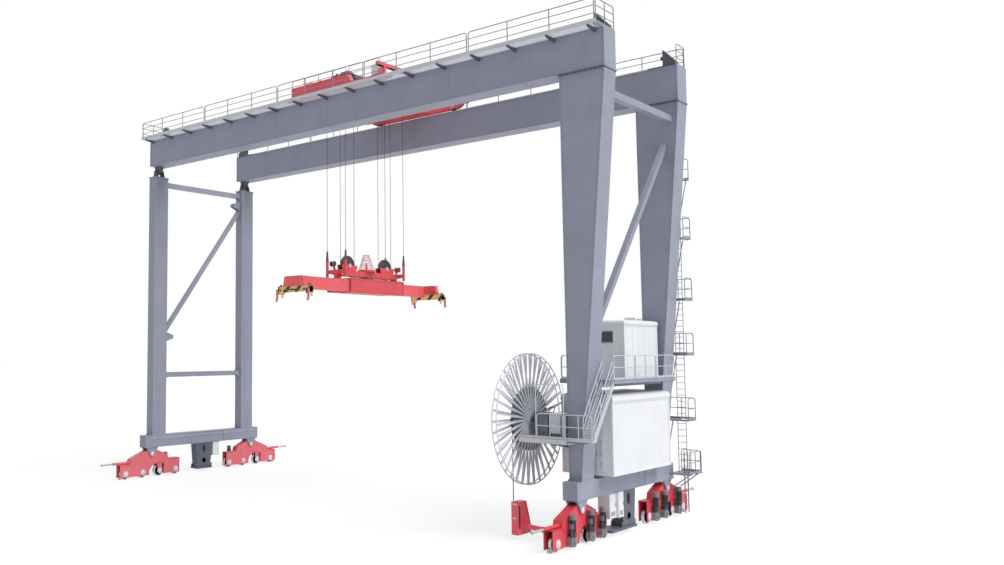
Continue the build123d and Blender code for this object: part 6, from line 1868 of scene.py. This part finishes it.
@dataclass
class Spreader(Assembly):
    """The telescopic box spreader: staggered tubes, arms, end beams and corner guides."""

    levels: Pair = (11.84, 12.68)
    tube_width: float = 0.6
    long_end: float = 2.84
    short_end: float = 2.15
    end_y: float = 6.096
    half_length: float = 1.219
    beam_ribs: tuple[float, ...] = (-0.7, -0.35, 0.0, 0.35, 0.7)
    lock_x: float = 1.1295
    lock_y: float = 5.9925
    guide_x: float = 1.209
    shaft_y: float = 6.321
    shaft_z: float = 11.84

    def frame_work(self) -> None:
        """Dress the tubes and fit their mouth collars, ribs and hydraulic set."""
        dress(RED, "spreader_frame")
        piece = self.start("spreader_frame_ironwork", "red_steel", RED, DARK_STEEL, BRIGHT, MOTOR)
        low, high = self.levels
        for side in SIDES:
            outer_x, mouth = TROLLEY_X - side * self.tube_width, -side * self.long_end
            first, last = sorted((side * self.short_end, mouth))
            for y in (first + 0.03, last - 0.03):
                # The collar at the near end of the tube on the +X side takes the dark flange paint: painted
                # shade.
                shade = 1 if side < 0 and y < 0 else 0
                x = outer_x - side * 0.012
                piece.bar((x, y, low + 0.01), (x, y, high - 0.01), 0.05, 0.022, Y_AXIS, shade)
                for z in (low + 0.012, high - 0.012):
                    piece.bar((TROLLEY_X - side * 0.02, y, z), (outer_x, y, z), 0.05, 0.03, Y_AXIS, shade)
            x = outer_x - side * 0.008
            for z in (low + 0.06, high - 0.06):
                piece.bar((x, first + 0.05, z), (x, last - 0.05, z), 0.03, 0.02, UP)
            for z in (low + 0.2, low + 0.42, low + 0.64):
                piece.bolt((outer_x - side * 0.018, mouth + side * 0.2, z), -X_AXIS * side, 0.022, 0.012, 2)
        piece.block((TROLLEY_X - 0.02, -0.55, high), (TROLLEY_X + 0.5, -0.05, high + 0.10), 3)
        for x in (TROLLEY_X + 0.55, TROLLEY_X + 0.52):
            piece.pipe([(x, -2.1, high + 0.02), (x, 2.7, high + 0.02)], 0.012, kind=1)
        piece.done(bevel=0.005)

    def arm_work(self, side: int, name: str) -> None:
        """Dress one arm and fit its end beam.

        Args:
            side: -1 for the near arm, 1 for the far arm.
            name: The end of its nodes' names.
        """
        dress(STRIPED, f"spreader_arm_{name}")
        piece = Workpiece(f"end_beam_ironwork_{name}", f"arm_{name}", "red_steel",
                          (STRIPED, BRIGHT, IRON, RED))
        middle, y = TROLLEY_X, side * self.end_y
        for front in (y - 0.165, y + 0.165):
            for x in (middle + rib for rib in self.beam_ribs):
                piece.bar((x, front, 12.08), (x, front, 12.58), 0.02, 0.03, kind=3)
            for half, z in ((1.2, 12.04), (0.68, 12.595)):
                piece.bar((middle - half, front, z), (middle + half, front, z), 0.02, 0.03, UP, 3)
        for out in SIDES:
            lock = middle + out * self.lock_x
            piece.turned((lock, side * self.lock_y, 0.0), UP,
                         [(0.02, 11.432), (0.045, 11.44), (0.062, 11.48), (0.062, 11.53), (0.036, 11.545),
                          (0.036, 11.6)], 24, 1)
            piece.turned((lock, y, 12.05), UP,
                         [(0.11, 0.0), (0.11, 0.02), (0.06, 0.03), (0.06, 0.10), (0.0, 0.105)], 24, 2)
            piece.disc_bolts((lock, y, 12.07), UP, 0.09, 6, 0.012, 1)
            edge = middle + out * self.half_length
            inner, outer = sorted((edge, edge - out * 0.01))
            piece.block((inner, y - 0.13, 11.66), (outer, y + 0.13, 11.98), 2)
            for z in (11.70, 11.94):
                for lean in (-0.1, 0.1):
                    piece.bolt((edge, y + lean, z), X_AXIS * out, 0.016, 0.0008, 1)
            hose = ((0.25, 5.9, 12.2), (0.9, 5.9, 12.12), (1.05, 5.95, 12.08))
            piece.pipe([(middle + out * run, side * off, z) for run, off, z in hose], 0.018, 8, 0.1, 2)
        piece.done(bevel=0.004)

    def guide_work(self, side: int, name: str) -> None:
        """Dress one pair of corner guides and round their shaft.

        Args:
            side: -1 for the near guides, 1 for the far guides.
            name: The end of their nodes' names.
        """
        # The corner guides take the lighter copy of the red: painted light.
        dress(LIGHTER_RED_PAINTED_LIGHT, f"flippers_{name}")
        piece = Workpiece(f"corner_guide_fittings_{name}", f"flippers_{name}", "red_steel",
                          (LIGHTER_RED_PAINTED_LIGHT, IRON, BRIGHT))
        y = side * self.shaft_y
        for start, end in ((-1.18, -0.80), (-0.64, 0.64), (0.80, 1.18)):
            piece.turned((TROLLEY_X + start, y, self.shaft_z), X_AXIS,
                         [(0.0, 0.0), (0.0415, 0.0), (0.0415, end - start), (0.0, end - start)], 24, 1)
        face = y + side * 0.024
        for x in (TROLLEY_X - self.guide_x, TROLLEY_X + self.guide_x):
            for rib in (x - 0.055, x + 0.055):
                piece.bar((rib, face, 11.78), (rib, face, 11.42), 0.02, 0.01)
            piece.disc_bolts((x, y + side * 0.02, 11.74), Y_AXIS * side, 0.035, 4, 0.009, 2)
        piece.done()

    def build(self) -> None:
        """Build the spreader's pieces."""
        self.frame_work()
        for side, name in zip(SIDES, ("near", "far")):
            self.arm_work(side, name)
            self.guide_work(side, name)


@dataclass
class Studio:
    """The pale floor, the soft light and the camera."""

    floor_half: float = 400.0
    floor_tones: tuple[Colour, Colour] = ((0.86, 0.86, 0.87), (0.89, 0.89, 0.90))
    seen_tone: Colour = (0.22, 0.22, 0.22)
    seen_glow: float = 0.81
    sky_tint: Colour = (0.95, 0.97, 1.0)
    sky_light: float = 0.33
    sun_from: Place = (0.60, 0.02, 0.80)
    sun_power: float = 2.6
    sun_angle: float = 40.0
    camera_place: Place = (35.644, -42.557, 8.627)
    camera_pitch: float = 4.146
    camera_yaw: float = 44.170
    lens: float = 33.19
    shift: Pair = (0.1998, -0.0017)
    sight: float = 2000.0

    def floor(self) -> None:
        """Lay the floor, which stays white to the camera and keeps the crane's soft shadow."""
        half = self.floor_half
        mesh = bpy.data.meshes.new("studio_floor")
        mesh.from_pydata([(-half, -half, 0.0), (half, -half, 0.0), (half, half, 0.0), (-half, half, 0.0)], [],
                         [(0, 1, 2, 3)])
        graph = Graph(bpy.data.materials.new("studio_floor_paint"))
        clouds = graph.ramp(graph.noise(graph.add("TexCoord").outputs["Object"], 0.2), 0.3, 0.7)
        matt = graph.add("BsdfDiffuse", {"Color": graph.mix(clouds, *map(rgba, self.floor_tones))}).outputs[0]
        pale = graph.add("BsdfDiffuse", {"Color": rgba(self.seen_tone)}).outputs[0]
        glow = graph.add("Emission", {"Color": rgba((1.0, 1.0, 1.0)), "Strength": self.seen_glow}).outputs[0]
        white = graph.add("AddShader", {0: pale, 1: glow}).outputs[0]
        graph.finish(graph.add("MixShader", {0: graph.seen_rays(), 1: matt, 2: white}))
        mesh.materials.append(graph.owner)
        floor = bpy.data.objects.new("studio_floor", mesh)
        bpy.context.scene.collection.objects.link(floor)

    def light(self) -> None:
        """Light the studio with an even sky and one soft sun."""
        graph = Graph(bpy.data.worlds.new("studio_sky"), "OutputWorld")
        sky = graph.add("Background", {"Color": rgba(self.sky_tint), "Strength": self.sky_light}).outputs[0]
        seen = graph.add("Background", {"Color": rgba((1.0, 1.0, 1.0)), "Strength": 1.0}).outputs[0]
        graph.finish(graph.add("MixShader", {0: graph.seen_rays(), 1: sky, 2: seen}))
        bpy.context.scene.world = graph.owner
        lamp = bpy.data.lights.new("soft_sun", "SUN")
        lamp.energy = self.sun_power
        lamp.angle = math.radians(self.sun_angle)
        sun = bpy.data.objects.new("soft_sun", lamp)
        sun.rotation_euler = Vector(self.sun_from).to_track_quat("Z", "Y").to_euler()
        bpy.context.scene.collection.objects.link(sun)

    def camera(self) -> None:
        """Stand the camera where the crane is seen from."""
        data = bpy.data.cameras.new("main_camera")
        data.sensor_width = 36.0
        data.lens = self.lens
        data.shift_x, data.shift_y = self.shift
        data.clip_end = self.sight
        camera = bpy.data.objects.new("main_camera", data)
        camera.location = self.camera_place
        camera.rotation_euler = (math.radians(90.0 + self.camera_pitch), 0.0, math.radians(self.camera_yaw))
        bpy.context.scene.collection.objects.link(camera)
        bpy.context.scene.camera = camera

    def build(self) -> None:
        """Set up the floor, the light and the camera."""
        self.floor()
        self.light()
        self.camera()
        bpy.context.scene.view_settings.view_transform = "Standard"


def main() -> None:
    """Build the crane's sub-assemblies in order, then the studio."""
    logging.basicConfig(level=logging.INFO, format="%(name)s: %(message)s")
    parts: list[Assembly] = [Superstructure("gantry"), Walkway("gantry"), SillEquipment("gantry")]
    parts += [Bogie(f"bogie_{bogie_label(side, end)}", side, end) for side in SIDES for end in SIDES]
    parts += [CableReel("reel"), ReelPlatform("gantry"), PlatformRails("gantry"), Houses("gantry"),
              AccessTower("gantry"), Trolley("trolley"), Hoist("spreader"), Spreader("spreader")]
    for part in parts:
        part.build()
        LOG.info("%s done", type(part).__name__)
    Studio().build()


if __name__ == "__main__":
    main()
